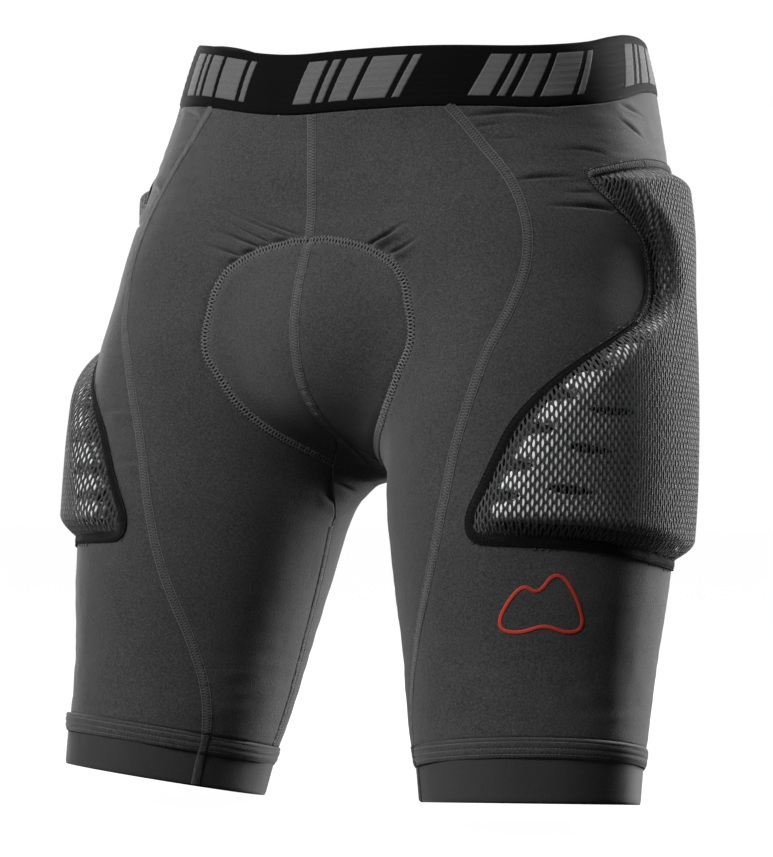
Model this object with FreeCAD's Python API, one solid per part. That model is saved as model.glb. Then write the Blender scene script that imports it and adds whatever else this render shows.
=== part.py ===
import FreeCAD, Part
import math
import os

V = FreeCAD.Vector
os.makedirs("parts", exist_ok=True)

# Padded impact shorts, millimetres.  +X is the wearer's left, -Y the wearer's front, +Z up.
# Heights in the tables are measured from the back of the waistband's top edge; every solid is
# raised by ORIGIN_RISE at the end so that the origin lies in the middle of the waist opening.
ORIGIN_RISE = 8.0

# ---------------------------------------------------------------- the worn shape
# Hip sections: height, half width, reach to the front, reach to the back, middle in y.
HIPS = [
    (0, 142, 129, 122, 1),
    (-40, 156, 129, 124, -9),
    (-80, 166, 120, 125, -19),
    (-120, 166, 109, 124, -29),
    (-160, 162, 95, 120, -36),
    (-210, 158, 75, 111, -38),
    (-290, 151, 46, 84, -36),
]
# Thigh sections: height, middle in x, middle in y, half width, half depth.
THIGH = [
    (-110, 90, -36, 85, 99),
    (-160, 101, -48, 82, 95),
    (-210, 111, -60, 82, 93),
    (-255, 113, -66, 84, 93),
    (-300, 114, -71, 84, 92),
    (-345, 118, -79, 80, 85),
    (-390, 121, -87, 74, 76),
    (-430, 124, -96, 70, 69),
    (-462, 128, -103, 65, 65),
    (-500, 133, -112, 60, 60),
]
HIP_ROUNDNESS = 2.25
THIGH_ROUNDNESS = 2.1
CROTCH_HEIGHT = -280.0
THIGH_TOP = -100.0
# Front bulge over the seat pad: middle in y and z, then radii in x, y and z.
BULGE = (-111.0, -195.0, 66.0, 46.0, 53.0)

# Worn pose: the wearer's right hip is moved by this much at its front corner, and the move fades
# out towards the middle, towards the back and down the thigh.
HIP_POSE_SHIFT = (7.0, 0.0, 26.0)
HIP_POSE_REACH = 160.0
HIP_POSE_FRONT = -90.0
HIP_POSE_DEPTH = 260.0
HIP_POSE_HEIGHT = -30.0
HIP_POSE_SPREAD = 90.0

# The line inside each leg that surface angles turn about: height, x, y.
# Angles: 0 is the front, 90 the outer side, 180 the back, -90 (or 270) the inner side.
TURNING_LINE = [(10, 66, -5), (-60, 80, -20)] + [(row[0], row[1], row[2]) for row in THIGH]

# ---------------------------------------------------------------- cloth and edges
FABRIC = 1.2
EDGE_GAP = 0.15
SEAM_WIDTH = 6.0
SEAM_THICK = 0.6
SEAM_LIFT = 0.05
# Waistband edges, from the front to the back: y, height of the top edge, height of the foot.
BAND_EDGES = [(-130, -25.5, -63), (-98, -25.5, -64), (-70, -22, -60), (-50, -18, -56),
              (-26, -11.5, -49.5), (-5, -7, -44), (20, -4, -40.5), (60, -3.5, -39), (125, -6, -41)]
BAND_THICK = 2.4
BAND_PROUD = 0.9
# Leg ends: middle of the lower rim, direction of the leg out of the rim, radius.
RIM_MIDDLE = (130.0, -106.0, -473.5)
RIM_DIRECTION = (0.09, -0.18, -1.0)
RIM_RADIUS = 64.5
GRIPPER_LENGTH = 20.0
GRIPPER_THICK = 1.6
HEM_LENGTH = 11.0
HEM_THICK = 2.6
HEM_RADIUS = 67.8
HEM_FLARE = 2.0

# ---------------------------------------------------------------- seam and pocket lines
# Seam angles against height.
FRONT_SEAM = [(-55, 0), (-84, 12), (-110, 23), (-132, 27), (-158, 26), (-188, 18), (-210, 10),
              (-235, 4), (-266, -2), (-296, -6), (-325, -12), (-354, -21), (-382, -32),
              (-412, -43), (-440, -49), (-470, -53)]
BACK_SEAM = [(-30, 147), (-150, 150), (-300, 152), (-470, 155)]
INNER_SEAM = [(-290, -94), (-350, -100), (-470, -104)]
GUSSET_FRONT_HEIGHT = -255.0
GUSSET_BACK_HEIGHT = -252.0
GUSSET_SIDE_HEIGHT = -308.0
# Hip pocket: front edge, then the angle of its back edge, then top and bottom edge heights.
POCKET_FRONT = [(-88, 46), (-104, 50), (-120, 60), (-136, 74), (-158, 81), (-178, 80), (-190, 72),
                (-204, 55), (-218, 40), (-232, 29), (-252, 18), (-272, 12), (-290, 7), (-306, 2),
                (-318, 2), (-326, 6), (-350, 12)]
POCKET_BACK = 138.0
POCKET_TOP = [(40, -107), (50, -103), (65, -97), (83, -91), (101, -88), (145, -90)]
POCKET_FOOT = [(0, -322), (23, -323), (46, -325), (68, -330), (108, -338), (145, -340)]
# The leg's rough radius at the pocket, and the pocket's rough height and the height of its foot.
POCKET_RADIUS = 88.0
POCKET_HEIGHT = 235.0
POCKET_LOW = -330.0
BINDING_WIDTH = 6.0
BINDING_THICK = 1.0
# The foam pad inside the pocket: the line of its front edge, and its clearance at the other edges.
FOAM_FRONT = [(-97, 56), (-104, 68), (-122, 82), (-144, 90), (-165, 92), (-187, 86), (-197, 74),
              (-214, 54), (-228, 39), (-246, 29), (-267, 22), (-286, 16), (-306, 13), (-320, 14)]
FOAM_INSET_BACK = 8.5
FOAM_INSET_TOP = 8.0
FOAM_INSET_FOOT = 15.0
FOAM_HEIGHT = 11.3
# Distances from the binding over which the pad rises at its front, back, top and foot.
PAD_RAMPS = (24.0, 11.0, 11.0, 13.0)
FOAM_LIFT = 0.2
MESH_INSET = 6.6
MESH_CLEARANCE = 1.1
MESH_THICK = 0.6
# Notches that divide the foam's lower front edge into fingers: their heights and size.
NOTCHES = (-206, -221, -237, -256, -277, -294)
NOTCH_DEPTH = 13.0
NOTCH_HALF_WIDTH = 3.6
# Seat pad: distance along the middle line from its front top, then half width.
SEAT_PAD = [(0, 12), (4, 31), (13, 53), (26, 66), (42, 71), (57, 74), (73, 72), (87, 64), (100, 57),
            (112, 49), (128, 38), (145, 28), (168, 19), (195, 15), (220, 20), (250, 35),
            (285, 58), (320, 74), (350, 79), (375, 72), (392, 54), (404, 30), (408, 14)]
SEAT_PAD_FRONT_HEIGHT = -140.0
SEAT_PAD_EDGE = 2.0
SEAT_PAD_MIDDLE = 8.5
SEAT_STITCH_WIDTH = 6.0
# Tailbone pad inside the back: height of its middle, half height, half width.
TAIL_PAD_MIDDLE = -112.0
TAIL_PAD_HALF = (44.0, 46.0)
TAIL_PAD_THICK = 8.0
TAIL_PAD_RADIUS = 118.0
# Outline emblem on the left thigh: its middle, then corners across and up from there.
EMBLEM_MIDDLE = (31.0, -354.0)
EMBLEM_RADIUS = 86.0
EMBLEM_CORNERS = [(-30, -15), (-11, 13), (-3, 2), (9, 22), (30, -15), (15, -18), (2, -12), (-13, -18)]
EMBLEM_STROKE = 2.0
EMBLEM_THICK = 0.35
# Points along and across the cloth panels and the waistband.
PANEL_ROWS = 46
BAND_COLUMNS = 73


class Curve:
    """A smooth curve through a few rows; the first column is the position along it."""

    def __init__(self, rows):
        self.rows = sorted(tuple(float(v) for v in row) for row in rows)
        self.slopes = []
        count = len(self.rows)
        for i in range(count):
            before = max(i - 1, 0)
            after = min(i + 1, count - 1)
            slope = []
            for column in range(1, len(self.rows[0])):
                if 0 < i < count - 1:
                    h0 = self.rows[i][0] - self.rows[before][0]
                    h1 = self.rows[after][0] - self.rows[i][0]
                    d0 = (self.rows[i][column] - self.rows[before][column]) / h0
                    d1 = (self.rows[after][column] - self.rows[i][column]) / h1
                    slope.append((d0 * h1 + d1 * h0) / (h0 + h1))
                else:
                    run = self.rows[after][0] - self.rows[before][0]
                    slope.append((self.rows[after][column] - self.rows[before][column]) / run)
            self.slopes.append(slope)

    def at(self, position):
        rows = self.rows
        if position <= rows[0][0]:
            return rows[0][1:]
        if position >= rows[-1][0]:
            return rows[-1][1:]
        i = 0
        while rows[i + 1][0] < position:
            i += 1
        span = rows[i + 1][0] - rows[i][0]
        t = (position - rows[i][0]) / span
        h00 = 2 * t ** 3 - 3 * t ** 2 + 1
        h10 = t ** 3 - 2 * t ** 2 + t
        h01 = 3 * t ** 2 - 2 * t ** 3
        h11 = t ** 3 - t ** 2
        values = []
        for k in range(len(rows[0]) - 1):
            start = h00 * rows[i][k + 1] + h10 * span * self.slopes[i][k]
            end = h01 * rows[i + 1][k + 1] + h11 * span * self.slopes[i + 1][k]
            values.append(start + end)
        return values


hips = Curve(HIPS)
thigh = Curve(THIGH)
turning_line = Curve(TURNING_LINE)
front_seam = Curve(FRONT_SEAM)
back_seam = Curve(BACK_SEAM)
inner_seam = Curve(INNER_SEAM)
pocket_front = Curve(POCKET_FRONT)
pocket_top = Curve(POCKET_TOP)
pocket_foot = Curve(POCKET_FOOT)
foam_front = Curve(FOAM_FRONT)
band_edges = Curve(BAND_EDGES)
seat_pad = Curve(SEAT_PAD)
sections = {}


# ---------------------------------------------------------------- the body surface
def smooth_min(a, b, k):
    h = min(1.0, max(0.0, 0.5 + 0.5 * (b - a) / k))
    return b * (1 - h) + a * h - k * h * (1 - h)


def smooth_max(a, b, k):
    return -smooth_min(-a, -b, k)


def oval(dx, dy, half_width, half_depth, roundness):
    """How far the point lies outside an oval section (negative inside)."""
    u = abs(dx) / half_width
    v = abs(dy) / half_depth
    rho = max((u ** roundness + v ** roundness) ** (1.0 / roundness), 1e-9)
    r = math.sqrt(dx * dx + dy * dy)
    return r - r / rho


def body(x, y, z):
    """Negative inside the worn shape, zero on the outer face of the cloth."""
    if z not in sections:
        sections[z] = (hips.at(z), thigh.at(z))
    hip, leg = sections[z]
    reach_back = hip[1] if y < hip[3] else hip[2]
    trunk = oval(x, y - hip[3], hip[0], reach_back, HIP_ROUNDNESS)
    trunk = smooth_max(trunk, CROTCH_HEIGHT - z, 50)
    legs = oval(abs(x) - leg[0], y - leg[1], leg[2], leg[3], THIGH_ROUNDNESS)
    legs = smooth_max(legs, z - THIGH_TOP, 60)
    u = x / BULGE[2]
    v = (y - BULGE[0]) / BULGE[3]
    w = (z - BULGE[1]) / BULGE[4]
    bulge = (math.sqrt(u * u + v * v + w * w) - 1) * 45
    return smooth_min(smooth_min(trunk, legs, 40), bulge, 35)


def slope(p):
    e = 0.5
    gx = (body(p.x + e, p.y, p.z) - body(p.x - e, p.y, p.z)) / (2 * e)
    gy = (body(p.x, p.y + e, p.z) - body(p.x, p.y - e, p.z)) / (2 * e)
    gz = (body(p.x, p.y, p.z + e) - body(p.x, p.y, p.z - e)) / (2 * e)
    return V(gx, gy, gz)


def lifted(p, lift):
    """The point moved off the surface, outward when lift is positive."""
    g = slope(p)
    return p + g * (lift / g.Length)


def landed(p):
    """The nearest surface point to a guess."""
    for _ in range(7):
        g = slope(p)
        p = p - g * (body(p.x, p.y, p.z) / (g.Length * g.Length))
    return p


def reach(cx, cy, z, dx, dy, limit):
    """How far the surface lies from (cx, cy) along (dx, dy), no further than limit."""
    near, far = 2.0, limit
    f_near = body(cx + dx * near, cy + dy * near, z)
    f_far = body(cx + dx * far, cy + dy * far, z)
    if f_far <= 0:
        return limit
    for _ in range(40):
        middle = (near * f_far - far * f_near) / (f_far - f_near)
        f = body(cx + dx * middle, cy + dy * middle, z)
        if abs(f) < 1e-4:
            break
        if f < 0:
            near, f_near = middle, f
            f_far *= 0.5
        else:
            far, f_far = middle, f
            f_near *= 0.5
    return middle


def leg_point(angle, z):
    """Surface point of the wearer's left half at an angle about the turning line."""
    cx, cy = turning_line.at(z)
    dx = math.sin(math.radians(angle))
    dy = -math.cos(math.radians(angle))
    limit = 240.0
    if dx < -1e-6:
        limit = min(limit, cx / -dx)
    r = reach(cx, cy, z, dx, dy, limit)
    return V(cx + dx * r, cy + dy * r, z)


def hip_point(angle, z):
    """Surface point at an angle about the middle of the hips, all the way round."""
    cy = hips.at(z)[3]
    dx = math.sin(math.radians(angle))
    dy = -math.cos(math.radians(angle))
    r = reach(0.0, cy, z, dx, dy, 260.0)
    return V(dx * r, cy + dy * r, z)


def angle_of(p, behind):
    cx, cy = turning_line.at(p.z)
    angle = math.degrees(math.atan2(p.x - cx, -(p.y - cy)))
    if behind and angle < 0:
        angle += 360
    return angle


# ---------------------------------------------------------------- heights of the garment's edges
def band_top(p):
    return band_edges.at(p.y)[0]


def band_foot(p):
    return band_edges.at(p.y)[1]


def above_rim(distance):
    """The plane across the leg, a distance up from the lower rim, as a height function."""
    d = V(*RIM_DIRECTION).normalize()
    start = V(*RIM_MIDDLE) - d * distance

    def height(p):
        return start.z - ((p.x - start.x) * d.x + (p.y - start.y) * d.y) / d.z

    return height


def height_on(plane, shift, point, angle):
    """Height at which the surface, seen at an angle, meets a plane."""
    z = plane(V(0, 0, 0)) + shift
    for _ in range(7):
        z = plane(point(angle, z)) + shift
    return z


panel_foot = above_rim(GRIPPER_LENGTH + HEM_LENGTH + 2 * EDGE_GAP)


# ---------------------------------------------------------------- solids from grids of points
def mirrored(grid):
    return [[V(-p.x, p.y, p.z) for p in row] for row in grid]


def faded(share):
    """One below 0, nothing above 1, and half a cosine wave between."""
    return 0.5 + 0.5 * math.cos(math.pi * min(1.0, max(0.0, share)))


def posed(p):
    """The worn pose: the wearer's right hip stands a little higher than the left one."""
    if p.x >= 0:
        return p
    share = 1.0 - faded(-p.x / HIP_POSE_REACH)
    share *= faded((p.y - HIP_POSE_FRONT) / HIP_POSE_DEPTH)
    share *= math.exp(-((p.z - HIP_POSE_HEIGHT) / HIP_POSE_SPREAD) ** 2)
    return p + V(*HIP_POSE_SHIFT) * share


def thick_patch(outer, inner):
    """A closed solid between two grids of points: two smooth faces and four ruled edges."""
    faces = []
    borders = []
    for grid in (outer, inner):
        surface = Part.BSplineSurface()
        surface.interpolate([[posed(p) for p in row] for row in grid])
        u0, u1, v0, v1 = surface.bounds()
        faces.append(surface.toShape())
        borders.append([surface.uIso(u0), surface.uIso(u1), surface.vIso(v0), surface.vIso(v1)])
    for edge_out, edge_in in zip(*borders):
        faces.append(Part.makeRuledSurface(edge_out.toShape(), edge_in.toShape(), 1))
    shell = Part.makeShell(faces)
    shell.sewShape()
    solid = Part.makeSolid(shell)
    if solid.Volume < 0:
        solid.reverse()
    return solid


def layered(grid, low, high):
    """A patch of cloth lying between two lifts off the surface points of a grid."""
    outer = [[lifted(p, high) for p in row] for row in grid]
    inner = [[lifted(p, low) for p in row] for row in grid]
    return outer, inner


def evenly(points, count):
    """The same line of points spaced evenly along its length."""
    along = [0.0]
    for a, b in zip(points, points[1:]):
        along.append(along[-1] + (b - a).Length)
    result = []
    i = 0
    for k in range(count):
        goal = along[-1] * k / (count - 1)
        while i < len(points) - 2 and along[i + 1] < goal:
            i += 1
        t = (goal - along[i]) / (along[i + 1] - along[i])
        result.append(points[i] + (points[i + 1] - points[i]) * t)
    return result


def ribbon(points, width):
    """Rows of three surface points across a line, for seams and bindings."""
    grid = []
    for i, p in enumerate(points):
        ahead = points[min(i + 1, len(points) - 1)]
        behind = points[max(i - 1, 0)]
        along = ahead - behind
        across = slope(p).cross(along)
        across = across * (0.5 * width / across.Length)
        grid.append([landed(p - across), p, landed(p + across)])
    return grid


def seam_solid(points, width, thick):
    outer, inner = layered(ribbon(points, width), SEAM_LIFT, SEAM_LIFT + thick)
    return outer, inner


def save(name, solid):
    shape = solid.copy()
    shape.translate(V(0, 0, ORIGIN_RISE))
    box = shape.BoundBox
    print(name, shape.isValid(), round(shape.Volume), round(box.ZMin), round(box.ZMax))
    shape.exportStep("parts/" + name + ".step")


def save_pair(name, outer, inner):
    save(name + "_left", thick_patch(outer, inner))
    save(name + "_right", thick_patch(mirrored(outer), mirrored(inner)))


# ---------------------------------------------------------------- main cloth panels
def line_between(a, b, count):
    return [landed(a + (b - a) * (k / (count - 1))) for k in range(count)]


def bowed_line(a, pull, b, count):
    """A surface line from a to b that leans towards a third point."""
    points = []
    for k in range(count):
        t = k / (count - 1)
        points.append(landed(a * (1 - t) ** 2 + pull * (2 * t * (1 - t)) + b * t ** 2))
    return points


def middle_line(front, top_plane, foot, count):
    """Line where the surface meets x = 0, from the waistband down to a height."""
    angle = 0.0 if front else 180.0
    top = height_on(top_plane, -EDGE_GAP * 2, hip_point, angle)
    points = []
    for k in range(count):
        z = top + (foot - top) * k / (count - 1)
        points.append(hip_point(angle, z))
    return points


def seam_points(seam, top, foot, count):
    points = []
    for k in range(count):
        z = top + (foot - top) * k / (count - 1)
        points.append(leg_point(seam.at(z)[0], z))
    return points


def seam_ends(seam):
    """Top and bottom heights of a seam that runs from the waistband to the hem."""
    top, foot = -60.0, -440.0
    for _ in range(6):
        top = band_foot(leg_point(seam.at(top)[0], top)) - 2 * EDGE_GAP
        foot = panel_foot(leg_point(seam.at(foot)[0], foot))
    return top, foot


def panel_grid(left, right, rows, columns, behind):
    """Surface grid between two seam lines, both given from the waistband to the hem."""
    left = evenly(left, rows)
    right = evenly(right, rows)
    grid = []
    bends = []
    for row, plane, shift in ((0, band_foot, -2 * EDGE_GAP), (rows - 1, panel_foot, 0.0)):
        a0, a1 = angle_of(left[row], behind), angle_of(right[row], behind)
        bend = []
        for k in range(columns):
            u = k / (columns - 1)
            straight = left[row].z + (right[row].z - left[row].z) * u
            bend.append(height_on(plane, shift, leg_point, a0 + (a1 - a0) * u) - straight)
        bends.append(bend)
    for i in range(rows):
        a0, a1 = angle_of(left[i], behind), angle_of(right[i], behind)
        down = i / (rows - 1)
        gap = EDGE_GAP / max((right[i] - left[i]).Length, 10.0)
        row = []
        for k in range(columns):
            u = gap + (1 - 2 * gap) * k / (columns - 1)
            z = left[i].z + (right[i].z - left[i].z) * u
            z += bends[0][k] * (1 - down) ** 3 + bends[1][k] * down ** 3
            row.append(leg_point(a0 + (a1 - a0) * u, z))
        grid.append(row)
    return grid


princess = seam_points(front_seam, *seam_ends(front_seam), 60)
rear = seam_points(back_seam, *seam_ends(back_seam), 60)
inner_foot = seam_ends(inner_seam)[1]
side_tip = leg_point(inner_seam.at(GUSSET_SIDE_HEIGHT)[0], GUSSET_SIDE_HEIGHT)
inseam = seam_points(inner_seam, GUSSET_SIDE_HEIGHT, inner_foot, 30)
centre_front = middle_line(True, band_foot, GUSSET_FRONT_HEIGHT, 40)
centre_back = middle_line(False, band_foot, GUSSET_BACK_HEIGHT, 40)
front_tip = centre_front[-1]
back_tip = centre_back[-1]
gusset_front = line_between(front_tip, side_tip, 16)
gusset_back = bowed_line(back_tip, V(46, 20, -287), side_tip, 24)

front_left = centre_front + gusset_front[1:] + inseam[1:]
front_grid = panel_grid(front_left, princess, PANEL_ROWS, 15, False)
side_grid = panel_grid(princess, rear, PANEL_ROWS, 23, False)
back_right = centre_back + gusset_back[1:] + inseam[1:]
back_grid = panel_grid(rear, back_right, PANEL_ROWS, 17, True)
save_pair("front_panel", *layered(front_grid, -FABRIC, 0.0))
save_pair("side_panel", *layered(side_grid, -FABRIC, 0.0))
save_pair("back_panel", *layered(back_grid, -FABRIC, 0.0))


def gusset_grid(steps):
    """Diamond under the crotch between the front, back and two inner-thigh tips."""
    front = evenly(gusset_front, 101)
    back = evenly(gusset_back, 101)
    start = front[0]
    end = back[0]
    left_tip = V(-side_tip.x, side_tip.y, side_tip.z)
    grid = []
    margin = 0.004
    for i in range(steps):
        u = margin + (1 - 2 * margin) * i / (steps - 1)
        row = []
        for k in range(steps):
            v = margin + (1 - 2 * margin) * k / (steps - 1)
            f_u = front[int(round(u * 100))]
            f_v = front[int(round(v * 100))]
            b_u = back[int(round((1 - v) * 100))]
            b_v = back[int(round((1 - u) * 100))]
            mirror_f = V(-f_v.x, f_v.y, f_v.z)
            mirror_b = V(-b_v.x, b_v.y, b_v.z)
            sides = f_u * (1 - v) + mirror_b * v + mirror_f * (1 - u) + b_u * u
            corners = start * ((1 - u) * (1 - v)) + side_tip * (u * (1 - v))
            corners = corners + left_tip * ((1 - u) * v) + end * (u * v)
            row.append(landed(sides - corners))
        grid.append(row)
    return grid


save("crotch_gusset", thick_patch(*layered(gusset_grid(19), -FABRIC, 0.0)))

# ---------------------------------------------------------------- waistband
BAND_JOIN = 0.15
LINING_INSET = 6.0


def band_grid(angles, top_inset, foot_inset, rows):
    grid = []
    for i in range(rows):
        share = i / (rows - 1)
        row = []
        for angle in angles:
            top = height_on(band_top, -top_inset, hip_point, angle)
            foot = height_on(band_foot, foot_inset, hip_point, angle)
            row.append(hip_point(angle, top + (foot - top) * share))
        grid.append(row)
    return grid


band_turn = (360 - 2 * BAND_JOIN) / (BAND_COLUMNS - 1)
band_angles = [BAND_JOIN - 180 + band_turn * k for k in range(BAND_COLUMNS)]
band = band_grid(band_angles, 0.0, 0.0, 7)
save("waistband", thick_patch(*layered(band, BAND_PROUD - BAND_THICK, BAND_PROUD)))
lining = band_grid(band_angles, LINING_INSET, LINING_INSET, 5)
low = BAND_PROUD - BAND_THICK
save("waistband_lining", thick_patch(*layered(lining, low - 0.8, low - 0.1)))

# ---------------------------------------------------------------- leg ends
def ring(distance, length, inner_radius, outer_radius, flare=0.0):
    """A round band on the leg, starting a distance up from the lower rim and widening by flare."""
    d = V(*RIM_DIRECTION).normalize()
    start = V(*RIM_MIDDLE) - d * distance
    if flare:
        outer = Part.makeCone(outer_radius, outer_radius + flare, length, start, d * -1)
        inner = Part.makeCone(inner_radius, inner_radius + flare, length, start, d * -1)
    else:
        outer = Part.makeCylinder(outer_radius, length, start, d * -1)
        inner = Part.makeCylinder(inner_radius, length, start, d * -1)
    return outer.cut(inner)


def save_rings(name, solid):
    save(name + "_left", solid)
    save(name + "_right", solid.mirror(V(0, 0, 0), V(1, 0, 0)))


gripper = ring(0, GRIPPER_LENGTH, RIM_RADIUS - GRIPPER_THICK, RIM_RADIUS)
save_rings("leg_gripper", gripper)
hem = ring(GRIPPER_LENGTH + EDGE_GAP, HEM_LENGTH, HEM_RADIUS - HEM_THICK, HEM_RADIUS, HEM_FLARE)
rims = [edge for edge in hem.Edges if edge.BoundBox.DiagonalLength > 2 * RIM_RADIUS]
hem = hem.makeFillet(0.8, rims)
save_rings("leg_hem", hem)
grip_inner = RIM_RADIUS - GRIPPER_THICK - 0.1
save_rings("silicone_grip", ring(4, 12, grip_inner - 0.7, grip_inner))

# ---------------------------------------------------------------- seat pad and its stitching
def seat_middle_line(count):
    """The line x = 0 from the pad's front top, under the crotch, to its back top."""
    pivot_y, pivot_z = -30.0, -190.0
    points = []
    start = hip_point(0.0, SEAT_PAD_FRONT_HEIGHT)
    first = math.degrees(math.atan2(start.z - pivot_z, -(start.y - pivot_y)))
    for k in range(count):
        angle = math.radians(first - (170 + first) * k / (count - 1))
        dy, dz = -math.cos(angle), math.sin(angle)
        near, far = 5.0, 260.0
        for _ in range(40):
            middle = 0.5 * (near + far)
            if body(0.0, pivot_y + dy * middle, pivot_z + dz * middle) < 0:
                near = middle
            else:
                far = middle
        points.append(V(0, pivot_y + dy * near, pivot_z + dz * near))
    return points


seat_line = seat_middle_line(240)
seat_along = [0.0]
for a, b in zip(seat_line, seat_line[1:]):
    seat_along.append(seat_along[-1] + (b - a).Length)
SEAT_PAD_LENGTH = SEAT_PAD[-1][0]


def seat_middle(distance):
    i = 0
    while i < len(seat_line) - 2 and seat_along[i + 1] < distance:
        i += 1
    t = (distance - seat_along[i]) / (seat_along[i + 1] - seat_along[i])
    return seat_line[i] + (seat_line[i + 1] - seat_line[i]) * t


def seat_across(distance, offset):
    """Surface point a signed distance across from the seat pad's middle line."""
    p = landed(seat_middle(distance))
    steps = max(1, int(abs(offset) / 4.0))
    for _ in range(steps):
        g = slope(p)
        sideways = V(1, 0, 0) - g * (g.x / (g.Length * g.Length))
        sideways.normalize()
        p = landed(p + sideways * (offset / steps))
    return p


def seat_rows():
    """Rows closer together at the rounded ends."""
    fractions = [0.5 - 0.5 * math.cos(math.pi * k / 50) for k in range(51)]
    return [SEAT_PAD_LENGTH * f for f in fractions]


seat_outer, seat_inner = [], []
for distance in seat_rows():
    half = seat_pad.at(distance)[0] - 3.0
    outer_row, inner_row = [], []
    for k in range(13):
        across = -1 + 2 * k / 12
        p = seat_across(distance, across * half)
        ends = min(1.0, distance / 30.0, (SEAT_PAD_LENGTH - distance) / 30.0)
        swell = (1 - across ** 4) * math.sin(0.5 * math.pi * ends)
        depth = SEAT_PAD_EDGE + (SEAT_PAD_MIDDLE - SEAT_PAD_EDGE) * swell
        outer_row.append(lifted(p, -FABRIC - EDGE_GAP))
        inner_row.append(lifted(p, -FABRIC - EDGE_GAP - depth))
    seat_outer.append(outer_row)
    seat_inner.append(inner_row)
save("seat_pad", thick_patch(seat_outer, seat_inner))

stitch_side = []
for k in range(61):
    distance = SEAT_PAD_LENGTH * (0.5 - 0.5 * math.cos(math.pi * k / 60))
    stitch_side.append(seat_across(distance, seat_pad.at(distance)[0]))
front_end = [seat_across(0.0, seat_pad.at(0.0)[0] * k / 4) for k in range(4)]
back_end = [seat_across(SEAT_PAD_LENGTH, seat_pad.at(SEAT_PAD_LENGTH)[0] * (1 - (k + 1) / 4.05))
            for k in range(4)]
stitch_line = evenly(front_end + stitch_side + back_end, 110)
stitch_line[0] = stitch_line[0] + V(EDGE_GAP, 0, 0)
save_pair("seat_stitch", *seam_solid(stitch_line, SEAT_STITCH_WIDTH, 0.7))

# ---------------------------------------------------------------- flat seams
def trimmed(points, start, end):
    """A line shortened by a length at each end, evenly spaced."""
    fine = evenly(points, 400)
    length = sum((b - a).Length for a, b in zip(fine, fine[1:]))
    first = int(round(399 * start / length))
    last = 399 - int(round(399 * end / length))
    return fine[first:last + 1]


def save_seam(name, points, count, start, end, both):
    line = [landed(p) for p in evenly(trimmed(points, start, end), count)]
    outer, inner = seam_solid(line, SEAM_WIDTH, SEAM_THICK)
    if both:
        save_pair(name, outer, inner)
    else:
        save(name, thick_patch(outer, inner))


save_seam("front_seam", princess, 70, 0.6, 0.6, True)
save_seam("back_side_seam", rear, 50, 0.6, 0.6, True)
save_seam("inner_leg_seam", inseam, 28, 5.0, 0.6, True)
stitch_half = 0.5 * SEAT_STITCH_WIDTH + 0.6
front_above = [p for p in centre_front if p.z > SEAT_PAD_FRONT_HEIGHT + stitch_half]
save_seam("centre_front_seam", front_above, 24, 0.6, 0.0, False)
front_inside = [seat_middle(stitch_half + 2 * k) for k in range(90)]
save_seam("pad_centre_seam", front_inside, 40, 0.0, 0.0, False)
back_top = seat_middle(SEAT_PAD_LENGTH).z
back_above = [p for p in centre_back if p.z > back_top + stitch_half]
save_seam("centre_back_seam", back_above, 26, 0.6, 0.6, False)

# ---------------------------------------------------------------- hip pads in their pockets
def pocket_point(u, w):
    """Pocket position: u from the front edge to the back, w from the foot to the top."""
    z = POCKET_LOW + POCKET_HEIGHT * w
    for _ in range(30):
        angle = pocket_front.at(z)[0]
        angle += (POCKET_BACK - angle) * u
        foot = pocket_foot.at(angle)[0]
        z_next = foot + (pocket_top.at(angle)[0] - foot) * w
        z = 0.5 * z + 0.5 * z_next
    return angle, z


def pad_share(angle, z):
    """0 along the binding, rising to 1 where the pad has its full height."""
    front = math.radians(angle - pocket_front.at(z)[0]) * POCKET_RADIUS
    back = math.radians(POCKET_BACK - angle) * POCKET_RADIUS
    top = pocket_top.at(angle)[0] - z
    foot = z - pocket_foot.at(angle)[0]
    shares = [(distance - MESH_INSET) / ramp
              for distance, ramp in zip((front, back, top, foot), PAD_RAMPS)]
    nearest = smooth_min(smooth_min(shares[0], shares[1], 0.4), smooth_min(shares[2], shares[3], 0.4), 0.4)
    return min(1.0, max(nearest, 0.0))


def cover_lift(angle, z):
    """Height of the padded surface above the side panel."""
    return FOAM_HEIGHT * math.sin(0.5 * math.pi * pad_share(angle, z))


def notch(z):
    """How far the foam's front edge is cut back at a height."""
    cut = 0.0
    for height in NOTCHES:
        share = abs(z - height) / NOTCH_HALF_WIDTH
        if share < 1:
            cut = NOTCH_DEPTH * math.cos(0.5 * math.pi * share) ** 2
    return cut


def pocket_row(w, u_low, u_high, columns):
    """Positions across the pocket, closer together at both ends."""
    row = []
    for k in range(columns):
        share = 0.5 - 0.5 * math.cos(math.pi * k / (columns - 1))
        row.append(pocket_point(u_low + (u_high - u_low) * share, w))
    return row


def pocket_layer(rows, low, high):
    """Inner and outer points over rows of pocket positions; low and high give the two lifts."""
    outer, inner = [], []
    for row in rows:
        outer.append([lifted(leg_point(angle, z), high(angle, z)) for angle, z in row])
        inner.append([lifted(leg_point(angle, z), low(angle, z)) for angle, z in row])
    return outer, inner


def mesh_low(angle, z):
    return cover_lift(angle, z) + MESH_CLEARANCE


def mesh_high(angle, z):
    return cover_lift(angle, z) + MESH_CLEARANCE + MESH_THICK


def foam_low(angle, z):
    return FOAM_LIFT


def foam_high(angle, z):
    return FOAM_LIFT + cover_lift(angle, z)


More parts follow.
